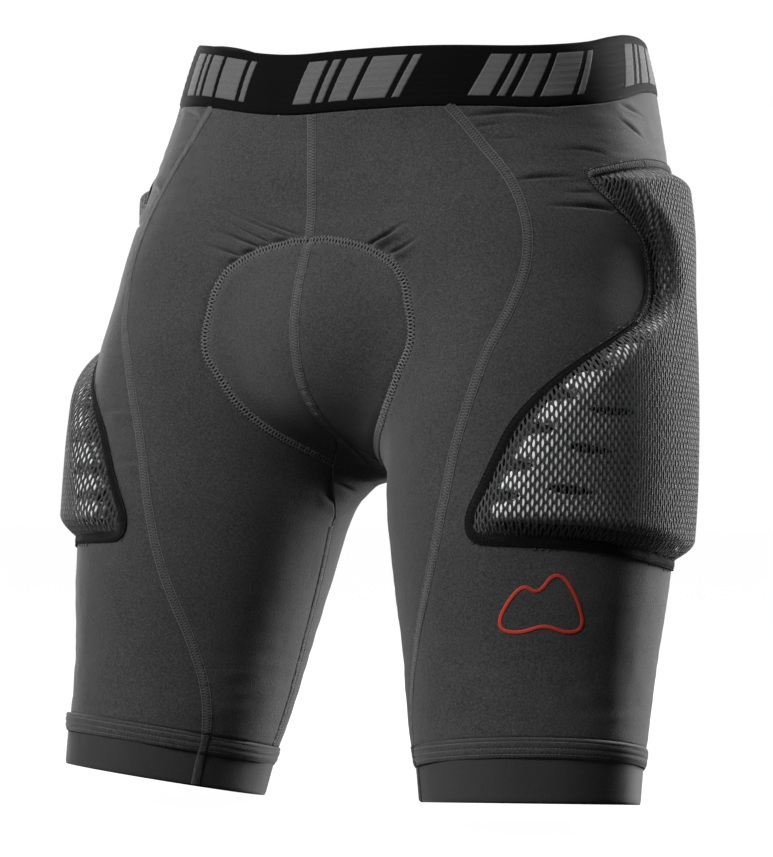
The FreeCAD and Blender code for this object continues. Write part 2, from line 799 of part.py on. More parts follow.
mesh_rows = []
for i in range(61):
    w = (MESH_INSET + (POCKET_HEIGHT - 2 * MESH_INSET) * i / 60) / POCKET_HEIGHT
    edge_angle, edge_z = pocket_point(0.0, w)
    inset = MESH_INSET / (math.radians(POCKET_BACK - edge_angle) * POCKET_RADIUS)
    mesh_rows.append(pocket_row(w, inset, 1 - inset, 33))
foam_rows = []
w_low = FOAM_INSET_FOOT / POCKET_HEIGHT
w_high = 1 - FOAM_INSET_TOP / POCKET_HEIGHT
for i in range(121):
    w = w_low + (w_high - w_low) * i / 120
    edge_angle, edge_z = pocket_point(0.0, w)
    span = math.radians(POCKET_BACK - edge_angle) * POCKET_RADIUS
    cut = math.radians(foam_front.at(edge_z)[0] - edge_angle) * POCKET_RADIUS + notch(edge_z)
    foam_rows.append(pocket_row(w, cut / span, 1 - FOAM_INSET_BACK / span, 25))
mesh_outer, mesh_inner = pocket_layer(mesh_rows, mesh_low, mesh_high)
foam_outer, foam_inner = pocket_layer(foam_rows, foam_low, foam_high)
save_pair("hip_mesh", mesh_outer, mesh_inner)
save_pair("hip_foam", foam_outer, foam_inner)


def binding_line():
    """The pocket's outer edge, starting at the back top corner."""
    corners = [(1.0, 1.0, 0.0, 1.0, 30), (0.0, 1.0, 0.0, 0.0, 70), (0.0, 0.0, 1.0, 0.0, 34),
               (1.0, 0.0, 1.0, 1.0, 50)]
    points = []
    for u0, w0, u1, w1, count in corners:
        for k in range(count):
            t = k / count
            angle, z = pocket_point(u0 + (u1 - u0) * t, w0 + (w1 - w0) * t)
            points.append(leg_point(angle, z))
    return points


def softened(points, passes):
    """A closed line with its corners rounded."""
    for _ in range(passes):
        count = len(points)
        points = [(points[i - 1] + points[i] * 2 + points[(i + 1) % count]) * 0.25
                  for i in range(count)]
    return points


def inset_line(points, distance):
    """A closed line moved inwards over the surface."""
    result = []
    count = len(points)
    for i, p in enumerate(points):
        along = points[(i + 1) % count] - points[i - 1]
        across = slope(p).cross(along)
        result.append(landed(p + across * (distance / across.Length)))
    return result


edge_line = softened(evenly(binding_line() + [binding_line()[0]], 161)[:-1], 3)
edge_line = inset_line(edge_line, 0.5 * BINDING_WIDTH + 0.3)
edge_line = edge_line[8:] + edge_line[:9]
edge_line[-1] = edge_line[-1] + (edge_line[-2] - edge_line[-1]) * 0.06
save_pair("pocket_binding", *seam_solid(edge_line, BINDING_WIDTH, BINDING_THICK))

# ---------------------------------------------------------------- tailbone pad inside the back
def tail_grid(half_height, half_width, low, high):
    outer, inner = [], []
    for i in range(15):
        v = -1 + 2 * i / 14
        outer_row, inner_row = [], []
        for k in range(15):
            u = -1 + 2 * k / 14
            # The corners are drawn in so that the outline is a rounded shield.
            narrow = half_width * (1 - 0.25 * (1 - v) * 0.5) * math.sqrt(1 - 0.35 * v * v)
            z = TAIL_PAD_MIDDLE + half_height * v * math.sqrt(1 - 0.30 * u * u)
            angle = 180 - math.degrees(narrow * u / TAIL_PAD_RADIUS)
            p = hip_point(angle, z)
            swell = 1 - max(abs(u), abs(v)) ** 5
            outer_row.append(lifted(p, high))
            inner_row.append(lifted(p, high - 2.0 - (high - low - 2.0) * swell))
        outer.append(outer_row)
        inner.append(inner_row)
    return outer, inner


pad_top = -FABRIC - EDGE_GAP
save("tail_pad", thick_patch(*tail_grid(*TAIL_PAD_HALF, pad_top - TAIL_PAD_THICK, pad_top)))

# ---------------------------------------------------------------- emblem on the left thigh
def rounded(corners, passes):
    """Corner cutting that turns a polygon into a smooth closed outline."""
    for _ in range(passes):
        cut = []
        for i, (x0, y0) in enumerate(corners):
            x1, y1 = corners[(i + 1) % len(corners)]
            cut.append((x0 * 0.75 + x1 * 0.25, y0 * 0.75 + y1 * 0.25))
            cut.append((x0 * 0.25 + x1 * 0.75, y0 * 0.25 + y1 * 0.75))
        corners = cut
    return corners


emblem_line = []
for across, up in rounded(EMBLEM_CORNERS, 3):
    angle = EMBLEM_MIDDLE[0] + math.degrees(across / EMBLEM_RADIUS)
    emblem_line.append(leg_point(angle, EMBLEM_MIDDLE[1] + up))
emblem_line = softened(evenly(emblem_line + [emblem_line[0]], 121)[:-1], 8)
emblem_line = evenly(emblem_line + [emblem_line[0]], 61)
emblem_line[-1] = emblem_line[-1] + (emblem_line[-2] - emblem_line[-1]) * 0.1
save("thigh_emblem", thick_patch(*seam_solid(emblem_line, EMBLEM_STROKE, EMBLEM_THICK)))
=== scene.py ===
import math

import bpy
import numpy as np
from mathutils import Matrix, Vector


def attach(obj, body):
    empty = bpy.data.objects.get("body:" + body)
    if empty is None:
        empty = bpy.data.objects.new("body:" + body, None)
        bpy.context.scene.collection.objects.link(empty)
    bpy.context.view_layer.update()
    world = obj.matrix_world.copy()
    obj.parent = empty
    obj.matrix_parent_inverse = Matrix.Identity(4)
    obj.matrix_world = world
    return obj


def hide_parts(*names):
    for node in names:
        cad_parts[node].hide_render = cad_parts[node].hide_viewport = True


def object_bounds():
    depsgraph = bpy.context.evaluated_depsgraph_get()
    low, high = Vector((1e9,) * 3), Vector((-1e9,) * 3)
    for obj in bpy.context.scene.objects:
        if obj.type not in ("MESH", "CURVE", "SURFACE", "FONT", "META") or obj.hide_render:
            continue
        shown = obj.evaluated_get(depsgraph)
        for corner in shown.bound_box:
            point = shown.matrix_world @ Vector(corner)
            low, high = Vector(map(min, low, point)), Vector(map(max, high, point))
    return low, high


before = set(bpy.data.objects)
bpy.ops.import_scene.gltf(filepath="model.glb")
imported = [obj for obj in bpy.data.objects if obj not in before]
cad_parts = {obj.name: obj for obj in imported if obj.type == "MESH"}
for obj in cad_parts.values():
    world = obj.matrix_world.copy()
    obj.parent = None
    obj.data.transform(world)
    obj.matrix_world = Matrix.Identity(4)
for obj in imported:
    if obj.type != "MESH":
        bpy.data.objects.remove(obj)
cad_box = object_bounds()

# Padded impact shorts.  The shape is worked out in millimetres on the wearer's left half and
# written in metres; +X is the wearer's left, -Y the front, +Z up.  Heights in the tables are
# measured from the back of the waistband's top edge, ORIGIN_RISE above the row's origin.
ORIGIN_RISE = 8.0
SIDES = ((1, "left"), (-1, "right"))

# ---------------------------------------------------------------- the worn shape
# Hip sections: height, half width, reach to the front, reach to the back, middle in y.
HIPS = [
    (0, 142, 129, 122, 1),
    (-40, 156, 129, 124, -9),
    (-80, 166, 120, 125, -19),
    (-120, 166, 109, 124, -29),
    (-160, 162, 95, 120, -36),
    (-210, 158, 75, 111, -38),
    (-290, 151, 46, 84, -36),
]
# Thigh sections: height, middle in x, middle in y, half width, half depth.
THIGH = [
    (-110, 90, -36, 85, 99),
    (-160, 101, -48, 82, 95),
    (-210, 111, -60, 82, 93),
    (-255, 113, -66, 84, 93),
    (-300, 114, -71, 84, 92),
    (-345, 118, -79, 80, 85),
    (-390, 121, -87, 74, 76),
    (-430, 124, -96, 70, 69),
    (-462, 128, -103, 65, 65),
    (-500, 133, -112, 60, 60),
]
HIP_ROUNDNESS = 2.25
THIGH_ROUNDNESS = 2.1
CROTCH_HEIGHT = -280.0
THIGH_TOP = -100.0
# The swell at the front, an ellipsoid: its middle and half sizes.
BULGE_MIDDLE = (0.0, -111.0, -195.0)
BULGE_HALF = (66.0, 46.0, 53.0)
BULGE_SIZE = 45.0
# How widely two shapes melt into one another.
CROTCH_BLEND = 50.0
THIGH_BLEND = 60.0
LEG_BLEND = 40.0
BULGE_BLEND = 35.0
# The line inside each leg that angles turn about: height, x, y.
TURNING_LINE = [(10, 66, -5), (-60, 80, -20)] + [row[:3] for row in THIGH]

FABRIC = 1.2
EDGE_GAP = 0.15
SEAM_WIDTH = 6.0
# Waistband edges, from the front to the back: y, height of the top edge, height of the foot.
BAND_EDGES = [(-130, -25.5, -63), (-98, -25.5, -64), (-70, -22, -60), (-50, -18, -56),
              (-26, -11.5, -49.5), (-5, -7, -44), (20, -4, -40.5), (60, -3.5, -39), (125, -6, -41)]
# Worn pose: the wearer's right hip is moved by this much at its front corner, and the move fades
# out towards the middle, towards the back and down the thigh.
HIP_POSE_SHIFT = np.array((7.0, 0.0, 26.0))
HIP_POSE_REACH = 160.0
HIP_POSE_FRONT = -90.0
HIP_POSE_DEPTH = 260.0
HIP_POSE_HEIGHT = -30.0
HIP_POSE_SPREAD = 90.0
BAND_THICK = 2.4
BAND_PROUD = 0.9
# Leg end: middle, direction and radius of its rim, and the two bands above it.
RIM_MIDDLE = np.array((130.0, -106.0, -473.5))
RIM_DIRECTION = np.array((0.09, -0.18, -1.0))
RIM_RADIUS = 64.5
GRIPPER_LENGTH = 20.0
GRIPPER_THICK = 1.6
HEM_LENGTH = 11.0
HEM_THICK = 2.6
HEM_RADIUS = 67.8
HEM_FLARE = 2.0

# Lines on the leg: height, angle about the turning line from the front outwards, in degrees.
FRONT_SEAM = [(-55, 0), (-84, 12), (-110, 23), (-132, 27), (-158, 26), (-188, 18), (-210, 10),
              (-235, 4), (-266, -2), (-296, -6), (-325, -12), (-354, -21), (-382, -32),
              (-412, -43), (-440, -49), (-470, -53)]
BACK_SEAM = [(-30, 147), (-150, 150), (-300, 152), (-470, 155)]
INNER_SEAM = [(-290, -94), (-350, -100), (-470, -104)]
GUSSET_FRONT_HEIGHT = -255.0
GUSSET_BACK_HEIGHT = -252.0
GUSSET_SIDE_HEIGHT = -308.0
# Pocket and foam edges: the fronts as height and angle, the pocket's top and foot as angle and
# height.  Distances across the pocket are measured at POCKET_RADIUS.
POCKET_FRONT = [(-88, 46), (-104, 50), (-120, 60), (-136, 74), (-158, 81), (-178, 80), (-190, 72),
                (-204, 55), (-218, 40), (-232, 29), (-252, 18), (-272, 12), (-290, 7), (-306, 2),
                (-318, 2), (-326, 6), (-350, 12)]
POCKET_BACK = 138.0
POCKET_TOP = [(40, -107), (50, -103), (65, -97), (83, -91), (101, -88), (145, -90)]
POCKET_FOOT = [(0, -322), (23, -323), (46, -325), (68, -330), (108, -338), (145, -340)]
POCKET_RADIUS = 88.0
POCKET_HEIGHT = 235.0
POCKET_LOW = -330.0
FOAM_FRONT = [(-97, 56), (-104, 68), (-122, 82), (-144, 90), (-165, 92), (-187, 86), (-197, 74),
              (-214, 54), (-228, 39), (-246, 29), (-267, 22), (-286, 16), (-306, 13), (-320, 14)]
FOAM_INSET_BACK = 8.5
FOAM_INSET_TOP = 8.0
FOAM_INSET_FOOT = 15.0
FOAM_HEIGHT = 11.3
# Widths of the pad's slopes: front, back, top, foot.
PAD_RAMPS = (24.0, 11.0, 11.0, 13.0)
PAD_BLEND = 0.4
MESH_INSET = 6.6
# Heights of the notches in the foam's front edge.
NOTCHES = (-206, -221, -237, -256, -277, -294)
NOTCH_DEPTH = 13.0
NOTCH_HALF_WIDTH = 3.6
# Slots through the foam: first and last angle, height, half height, drop along the slot.
FOAM_SLOTS = [(45, 62, -246.3, 2.6, 1.5), (38.5, 52, -267.3, 2.7, 3), (32, 46.5, -290.3, 2.7, 3)]
# The seat pad's half width along its middle line: distance from the front top, half width.
SEAT_PAD = [(0, 12), (4, 31), (13, 53), (26, 66), (42, 71), (57, 74), (73, 72), (87, 64), (100, 57),
            (112, 49), (128, 38), (145, 28), (168, 19), (195, 15), (220, 20), (250, 35),
            (285, 58), (320, 74), (350, 79), (375, 72), (392, 54), (404, 30), (408, 14)]
SEAT_PAD_LENGTH = 408.0
SEAT_PAD_FRONT_HEIGHT = -140.0
SEAT_PAD_EDGE = 2.0
SEAT_PAD_MIDDLE = 8.5
TAIL_PAD_MIDDLE = -112.0
TAIL_PAD_HALF = (44.0, 46.0)
TAIL_PAD_THICK = 8.0
TAIL_PAD_RADIUS = 118.0
EMBLEM_MIDDLE = (31.0, -354.0)
EMBLEM_RADIUS = 86.0
# Corners of a plain invented outline, rounded off later, about the emblem's middle.
EMBLEM_CORNERS = [(-30, -15), (-11, 13), (-3, 2), (9, 22), (30, -15), (15, -18), (2, -12), (-13, -18)]
EMBLEM_STROKE = 2.0

# Creases: side, points as (angle, height), depth, half width, and where it is deepest
# (0 at its first point, 1 at its last, 0.5 in the middle).
CREASE_DEPTH = 1.5
CREASE_CORE = 0.52
CREASES = [
    (-1, [(-10, -117.5), (-28, -128.5), (-42.5, -140)], 3.2, 1.8, 0.85),
    (-1, [(-19.5, -119.5), (-32, -128.5), (-44, -138)], 2.6, 1.6, 0.85),
    (-1, [(-13, -131.5), (-24, -137.5), (-33.5, -143.5)], 3.8, 2.2, 0.85),
    (-1, [(-15, -124.5), (-28, -134.5), (-37, -142)], 2.4, 1.5, 0.8),
    (-1, [(-11, -140.5), (-21, -145), (-28, -148.5)], 2.6, 1.8, 0.8),
    (1, [(-15.5, -132.5), (-23.5, -139), (-32, -147)], 3.2, 1.8, 0.85),
    (1, [(-12, -142), (-18, -147), (-24, -151)], 2.6, 1.7, 0.85),
    (1, [(-18.5, -136), (-28, -143.5)], 1.8, 1.6, 0.7),
    (1, [(6, -70.5), (15, -69), (26, -67.3), (37, -68.6), (45, -69.6)], 1.1, 2.0, 0.35),
    (1, [(10, -76.6), (21, -74.6)], 0.7, 1.6, 0.4),
    (1, [(15, -84), (28, -83.4)], 0.5, 1.6, 0.5),
    (1, [(22.5, -110.3), (31, -108), (42, -107), (50, -106.5)], 1.1, 1.8, 0.3),
    (1, [(42, -117), (57, -115.7)], 0.6, 1.6, 0.6),
    (1, [(33, -125.5), (45, -124.8), (57, -125), (66, -126.8)], 1.2, 2.0, 0.65),
    (1, [(40, -90.5), (53, -89), (66, -91)], 0.5, 2.2, 0.5),
    (1, [(72, -55.5), (84, -58.6), (96, -61)], 0.7, 1.8, 0.5),
    (1, [(71, -65.5), (82, -71), (93, -77)], 0.6, 1.9, 0.5),
    (-1, [(7, -70), (22, -67.5), (38, -69)], 1.2, 2.2, 0.35),
    (-1, [(25, -111), (38, -108), (50, -107)], 1.2, 2.2, 0.3),
    (-1, [(32, -128), (50, -126), (64, -128)], 1.1, 2.4, 0.6),
    (-1, [(22, -240.3), (11, -240), (2, -241)], 1.6, 2.2, 0.5),
    (-1, [(13, -273), (3, -272.5), (-5, -272.8)], 1.3, 2.0, 0.5),
    (-1, [(-84, -282), (-92, -285), (-104, -288)], 2.2, 2.4, 0.6),
    (-1, [(-80, -291), (-92, -297), (-104, -301)], 1.4, 2.6, 0.6),
    (1, [(-80, -282), (-90, -287), (-102, -291)], 1.8, 2.6, 0.6),
    (1, [(-70, -296), (-84, -304), (-98, -309)], 1.0, 3.0, 0.6),
]
# Creases that both halves share at the back: points, depth, half width, where it is deepest.
SHARED_CREASES = [
    ([(150, -262), (172, -270), (196, -272), (214, -268)], 1.8, 4.0, 0.55),
    ([(158, -284), (182, -290), (206, -288)], 1.1, 3.6, 0.5),
    ([(148, -118), (163, -121), (178, -120)], 0.7, 3.2, 0.4),
    ([(150, -86), (168, -84), (186, -86)], 0.6, 3.0, 0.4),
]


# ---------------------------------------------------------------- curves and the body surface
class Curve:
    """A smooth curve through a few rows; the first column is the position along it."""

    def __init__(self, rows):
        table = np.array(sorted(rows), float)
        self.x = table[:, 0]
        self.y = table[:, 1:]
        run = np.diff(self.x)[:, None]
        rise = np.diff(self.y, axis=0) / run
        inner = (rise[:-1] * run[1:] + rise[1:] * run[:-1]) / (run[:-1] + run[1:])
        self.slopes = np.concatenate([rise[:1], inner, rise[-1:]])

    def at(self, position):
        x = np.clip(np.asarray(position, float), self.x[0], self.x[-1])
        i = np.clip(np.searchsorted(self.x, x, side="right") - 1, 0, len(self.x) - 2)
        span = self.x[i + 1] - self.x[i]
        t = ((x - self.x[i]) / span)[..., None]
        span = span[..., None]
        start = (2 * t**3 - 3 * t**2 + 1) * self.y[i] + (t**3 - 2 * t**2 + t) * span * self.slopes[i]
        end = (3 * t**2 - 2 * t**3) * self.y[i + 1] + (t**3 - t**2) * span * self.slopes[i + 1]
        return start + end

    def one(self, position):
        return self.at(position)[..., 0]


hips = Curve(HIPS)
thigh = Curve(THIGH)
turning_line = Curve(TURNING_LINE)
front_seam = Curve(FRONT_SEAM)
back_seam = Curve(BACK_SEAM)
inner_seam = Curve(INNER_SEAM)
pocket_front = Curve(POCKET_FRONT)
pocket_top = Curve(POCKET_TOP)
pocket_foot = Curve(POCKET_FOOT)
foam_front = Curve(FOAM_FRONT)
seat_pad = Curve(SEAT_PAD)
band_edges = Curve(BAND_EDGES)


def run_along(points):
    """How far along a line of points each point lies."""
    return np.concatenate([[0], np.cumsum(np.linalg.norm(np.diff(points, axis=0), axis=1))])


def points_at(goals, along, points):
    """Points of a line at the distances goals, when along holds the distance of each point."""
    return np.stack([np.interp(goals, along, points[:, k]) for k in range(points.shape[1])], axis=-1)


def bell(x, width):
    """One at zero, falling away on both sides."""
    return np.exp(-((x / width) ** 2))


def smooth_min(a, b, k):
    h = np.clip(0.5 + 0.5 * (b - a) / k, 0.0, 1.0)
    return b * (1 - h) + a * h - k * h * (1 - h)


def smooth_max(a, b, k):
    return -smooth_min(-a, -b, k)


def oval(dx, dy, half_width, half_depth, roundness):
    u = np.abs(dx) / half_width
    v = np.abs(dy) / half_depth
    rho = np.maximum((u**roundness + v**roundness) ** (1.0 / roundness), 1e-9)
    r = np.hypot(dx, dy)
    return r - r / rho


def body(p):
    """Negative inside the worn shape, zero on the outer face of the cloth."""
    x, y, z = p[..., 0], p[..., 1], p[..., 2]
    hip = hips.at(z)
    leg = thigh.at(z)
    reach_back = np.where(y < hip[..., 3], hip[..., 1], hip[..., 2])
    trunk = oval(x, y - hip[..., 3], hip[..., 0], reach_back, HIP_ROUNDNESS)
    trunk = smooth_max(trunk, CROTCH_HEIGHT - z, CROTCH_BLEND)
    legs = oval(np.abs(x) - leg[..., 0], y - leg[..., 1], leg[..., 2], leg[..., 3], THIGH_ROUNDNESS)
    legs = smooth_max(legs, z - THIGH_TOP, THIGH_BLEND)
    bulge = (np.linalg.norm((p - BULGE_MIDDLE) / BULGE_HALF, axis=-1) - 1) * BULGE_SIZE
    return smooth_min(smooth_min(trunk, legs, LEG_BLEND), bulge, BULGE_BLEND)


def slope(p):
    g = np.empty(p.shape)
    for axis in range(3):
        step = np.zeros(3)
        step[axis] = 0.5
        g[..., axis] = body(p + step) - body(p - step)
    return g


def normal(p):
    g = slope(p)
    return g / np.maximum(np.linalg.norm(g, axis=-1, keepdims=True), 1e-9)


def lifted(p, lift):
    return p + normal(p) * np.asarray(lift)[..., None]


def landed(p):
    """The nearest surface point to a guess."""
    for _ in range(5):
        g = slope(p)
        p = p - g * (body(p) / np.maximum((g * g).sum(-1), 1e-9))[..., None]
    return p


def reach(centre, direction, limit):
    """How far the surface lies from the centre along a direction, no further than limit."""
    near = np.full(limit.shape, 2.0)
    far = limit.copy()
    f_near = body(centre + direction * near[..., None])
    f_far = body(centre + direction * far[..., None])
    open_ended = f_far <= 0
    f_far = np.where(open_ended, 1.0, f_far)
    middle = far.copy()
    for _ in range(26):
        middle = (near * f_far - far * f_near) / (f_far - f_near)
        f = body(centre + direction * middle[..., None])
        inside = f < 0
        near = np.where(inside, middle, near)
        far = np.where(inside, far, middle)
        f_near, f_far = np.where(inside, f, f_near * 0.5), np.where(inside, f_far * 0.5, f)
    return np.where(open_ended, limit, middle)


def leg_point(angle, z):
    """Surface points of the wearer's left half at angles about the turning line."""
    angle, z = np.broadcast_arrays(np.asarray(angle, float), np.asarray(z, float))
    centre = np.concatenate([turning_line.at(z), z[..., None]], axis=-1)
    turn = np.radians(angle)
    direction = np.stack([np.sin(turn), -np.cos(turn), np.zeros(turn.shape)], axis=-1)
    limit = np.full(angle.shape, 240.0)
    inward = direction[..., 0] < -1e-6
    to_middle = centre[..., 0] / np.where(inward, -direction[..., 0], 1.0)
    limit = np.where(inward, np.minimum(limit, to_middle), limit)
    return centre + direction * reach(centre, direction, limit)[..., None]


def hip_point(angle, z):
    """Surface points at angles about the middle of the hips, all the way round."""
    angle, z = np.broadcast_arrays(np.asarray(angle, float), np.asarray(z, float))
    centre = np.stack([np.zeros(z.shape), hips.at(z)[..., 3], z], axis=-1)
    turn = np.radians(angle)
    direction = np.stack([np.sin(turn), -np.cos(turn), np.zeros(turn.shape)], axis=-1)
    return centre + direction * reach(centre, direction, np.full(angle.shape, 260.0))[..., None]


def angle_of(p, behind):
    c = turning_line.at(p[..., 2])
    angle = np.degrees(np.arctan2(p[..., 0] - c[..., 0], -(p[..., 1] - c[..., 1])))
    return np.where(angle < 0, angle + 360, angle) if behind else angle


# ---------------------------------------------------------------- heights of the garment's edges
def band_top(p):
    return band_edges.at(p[..., 1])[..., 0]


def band_foot(p):
    return band_edges.at(p[..., 1])[..., 1]


def panel_foot(p):
    d = RIM_DIRECTION / np.linalg.norm(RIM_DIRECTION)
    start = RIM_MIDDLE - d * (GRIPPER_LENGTH + HEM_LENGTH + 2 * EDGE_GAP)
    return start[2] - ((p[..., 0] - start[0]) * d[0] + (p[..., 1] - start[1]) * d[1]) / d[2]


def height_on(plane, shift, point, angle):
    """Heights at which surface points at these angles meet an edge of the garment."""
    z = np.zeros(np.shape(angle)) + plane(np.zeros(3)) + shift
    for _ in range(6):
        z = plane(point(angle, z)) + shift
    return z


# ---------------------------------------------------------------- lines on the surface
def evenly(points, count):
    """The same line of points spaced evenly along its length."""
    along = run_along(points)
    return points_at(np.linspace(0, along[-1], count), along, points)


def line_between(a, b, count):
    t = np.linspace(0, 1, count)[:, None]
    return landed(a * (1 - t) + b * t)


def bowed_line(a, pull, b, count):
    t = np.linspace(0, 1, count)[:, None]
    return landed(a * (1 - t) ** 2 + pull * (2 * t * (1 - t)) + b * t**2)


def middle_line(angle, foot, count):
    top = height_on(band_foot, -2 * EDGE_GAP, hip_point, np.array(angle))
    return hip_point(angle, np.linspace(top, foot, count))


def seam_points(seam, top, foot, count):
    z = np.linspace(top, foot, count)
    return leg_point(seam.one(z), z)


def seam_ends(seam):
    top, foot = np.array(-60.0), np.array(-440.0)
    for _ in range(6):
        top = band_foot(leg_point(seam.one(top), top)) - 2 * EDGE_GAP
        foot = panel_foot(leg_point(seam.one(foot), foot))
    return top, foot


princess = seam_points(front_seam, *seam_ends(front_seam), 260)
# The front seams' own stitching starts this far above the panels, under the waistband.
SEAM_TUCK = 0.9
tucked_top, _ = seam_ends(front_seam)
tucked = seam_points(front_seam, tucked_top + SEAM_TUCK, tucked_top + 0.2, 3)
princess_stitched = np.concatenate([tucked, princess])
rear = seam_points(back_seam, *seam_ends(back_seam), 260)
side_tip = leg_point(inner_seam.one(GUSSET_SIDE_HEIGHT), GUSSET_SIDE_HEIGHT)
inseam = seam_points(inner_seam, GUSSET_SIDE_HEIGHT, seam_ends(inner_seam)[1], 120)
centre_front = middle_line(0.0, GUSSET_FRONT_HEIGHT, 160)
centre_back = middle_line(180.0, GUSSET_BACK_HEIGHT, 160)
gusset_front = line_between(centre_front[-1], side_tip, 60)
GUSSET_BACK_PULL = np.array((46.0, 20.0, -287.0))
gusset_back = bowed_line(centre_back[-1], GUSSET_BACK_PULL, side_tip, 60)


SEAT_PIVOT = np.array((0.0, -30.0, -190.0))
SEAT_LAST_TURN = -170.0


def seat_middle_line(count):
    """The line x = 0 from the seat pad's front top, under the crotch, to its back top."""
    start = hip_point(0.0, SEAT_PAD_FRONT_HEIGHT)
    first = math.degrees(math.atan2(start[2] - SEAT_PIVOT[2], SEAT_PIVOT[1] - start[1]))
    turn = np.radians(np.linspace(first, SEAT_LAST_TURN, count))
    direction = np.stack([np.zeros(count), -np.cos(turn), np.sin(turn)], axis=-1)
    near, far = np.full(count, 5.0), np.full(count, 260.0)
    for _ in range(40):
        middle = 0.5 * (near + far)
        inside = body(SEAT_PIVOT + direction * middle[:, None]) < 0
        near, far = np.where(inside, middle, near), np.where(inside, far, middle)
    return SEAT_PIVOT + direction * near[:, None]


seat_line = seat_middle_line(400)
seat_along = run_along(seat_line)


def seat_across(distance, offset):
    """Surface points at signed distances across from the seat pad's middle line."""
    distance, offset = np.broadcast_arrays(np.asarray(distance, float), np.asarray(offset, float))
    p = points_at(distance, seat_along, seat_line)
    steps = max(1, int(np.abs(offset).max() / 4.0))
    for _ in range(steps):
        n = normal(p)
        sideways = np.array((1.0, 0, 0)) - n * n[..., :1]
        sideways /= np.linalg.norm(sideways, axis=-1, keepdims=True)
        p = landed(p + sideways * (offset / steps)[..., None])
    return p


def seat_outline():
    share = 0.5 - 0.5 * np.cos(np.linspace(0, math.pi, 160))
    distance = SEAT_PAD_LENGTH * share
    first, last = seat_pad.one(0.0), seat_pad.one(SEAT_PAD_LENGTH)
    front = seat_across(0.0, first * np.linspace(0, 0.9, 8))
    back = seat_across(SEAT_PAD_LENGTH, last * np.linspace(0.9, 0, 8))
    return np.concatenate([front, seat_across(distance, seat_pad.one(distance)), back])


stitch_outline = evenly(seat_outline(), 420)


# ---------------------------------------------------------------- small shape of the cloth
def lattice(cells, seed):
    """A repeatable random number from -1 to 1 for each lattice cell."""
    mixed = cells[..., 0] * 374761393 + cells[..., 1] * 668265263 + cells[..., 2] * 2147483647
    mixed = (mixed + seed * 974711) & 0xFFFFFFFF
    mixed = ((mixed ^ (mixed >> 13)) * 1274126177) & 0xFFFFFFFF
    mixed = mixed ^ (mixed >> 16)
    return (mixed & 0xFFFF) / 32767.5 - 1


def noise(p, size, seed):
    """Smooth noise from -1 to 1; size is the width of its lumps, per axis if three are given."""
    q = p / np.asarray(size, float)
    cell = np.floor(q).astype(np.int64)
    t = q - cell
    t = t * t * (3 - 2 * t)
    total = np.zeros(p.shape[:-1])
    for dx in (0, 1):
        for dy in (0, 1):
            for dz in (0, 1):
                weight = np.abs(1 - dx - t[..., 0]) * np.abs(1 - dy - t[..., 1])
                weight = weight * np.abs(1 - dz - t[..., 2])
                total += weight * lattice(cell + (dx, dy, dz), seed)
    return total


def near_line(p, line, margin):
    """Signed distance from a line on the surface, and the position along it, for nearby points."""
    flat = p.reshape(-1, 3)
    low, high = line.min(0) - margin, line.max(0) + margin
    chosen = np.flatnonzero(((flat > low) & (flat < high)).all(1))
    distance = np.full(len(flat), 1e3)
    along = np.zeros(len(flat))
    if len(chosen):
        step = np.gradient(line, axis=0)
        across = np.cross(normal(line), step)
        across /= np.linalg.norm(across, axis=1, keepdims=True)
        lengths = run_along(line)
        for part in np.array_split(chosen, len(chosen) // 4000 + 1):
            squares = ((flat[part][:, None] - line[None]) ** 2).sum(-1)
            i = squares.argmin(1)
            gap = flat[part] - line[i]
            along[part] = lengths[i]
            side = (gap * across[i]).sum(1)
            ahead = (gap * step[i]).sum(1) / np.linalg.norm(step[i], axis=1)
            spacing = lengths[-1] / (len(line) - 1)
            past_end = np.maximum(np.abs(ahead) - 0.6 * spacing, 0)
            distance[part] = np.where(side < 0, -1, 1) * np.hypot(side, past_end)
    return distance.reshape(p.shape[:-1]), along.reshape(p.shape[:-1])


def crease_lift(p, points, depth, half_width, deepest):
    corners = np.array(points, float)
    line = evenly(leg_point(corners[:, 0], corners[:, 1]), 40)
    mean = np.ones(7) / 7
    rounded_line = [np.convolve(np.pad(line[:, k], 3, mode="edge"), mean, "valid") for k in range(3)]
    line = evenly(np.stack(rounded_line, axis=1), 60)
    distance, along = near_line(p, line, 5 * half_width)
    share = along / run_along(line)[-1]
    fade = np.where(share < deepest, share / deepest, (1 - share) / (1 - deepest))
    fade = np.clip(fade, 0, 1) ** 0.8
    valley = bell(distance, CREASE_CORE * half_width)
    ridge = bell(distance - 1.9 * half_width, 1.5 * half_width)
    return CREASE_DEPTH * depth * fade * (0.6 * ridge - valley)


# Heights in mm of the cloth's small relief; its creases are listed further up.
SLACK = 0.35
DIMPLE = 0.12
LEG_RIPPLE = 0.10
HEM_RIPPLE = 0.22
CROTCH_RIPPLE = 0.45
HIP_RIPPLE = 0.30
BAND_GATHER = 0.45
SEAT_SWELL = 1.5
SEAT_DRAW = 1.5
SEAT_PUCKER = 0.5
SEAM_DRAW = 0.45
SEAM_PUCKER = 0.22
HELD_UNDER_POCKET = 0.85

seam_lines = [evenly(line, 170) for line in (princess, rear)]
seam_lines += [evenly(line, 70) for line in (inseam, centre_front, centre_back)]


def pocket_depths(angle, z):
    """Rough distances inside the pocket's front, back, top and foot."""
    front = np.radians(angle - pocket_front.one(z)) * POCKET_RADIUS
    back = np.radians(POCKET_BACK - angle) * POCKET_RADIUS
    return front, back, pocket_top.one(angle) - z, z - pocket_foot.one(angle)


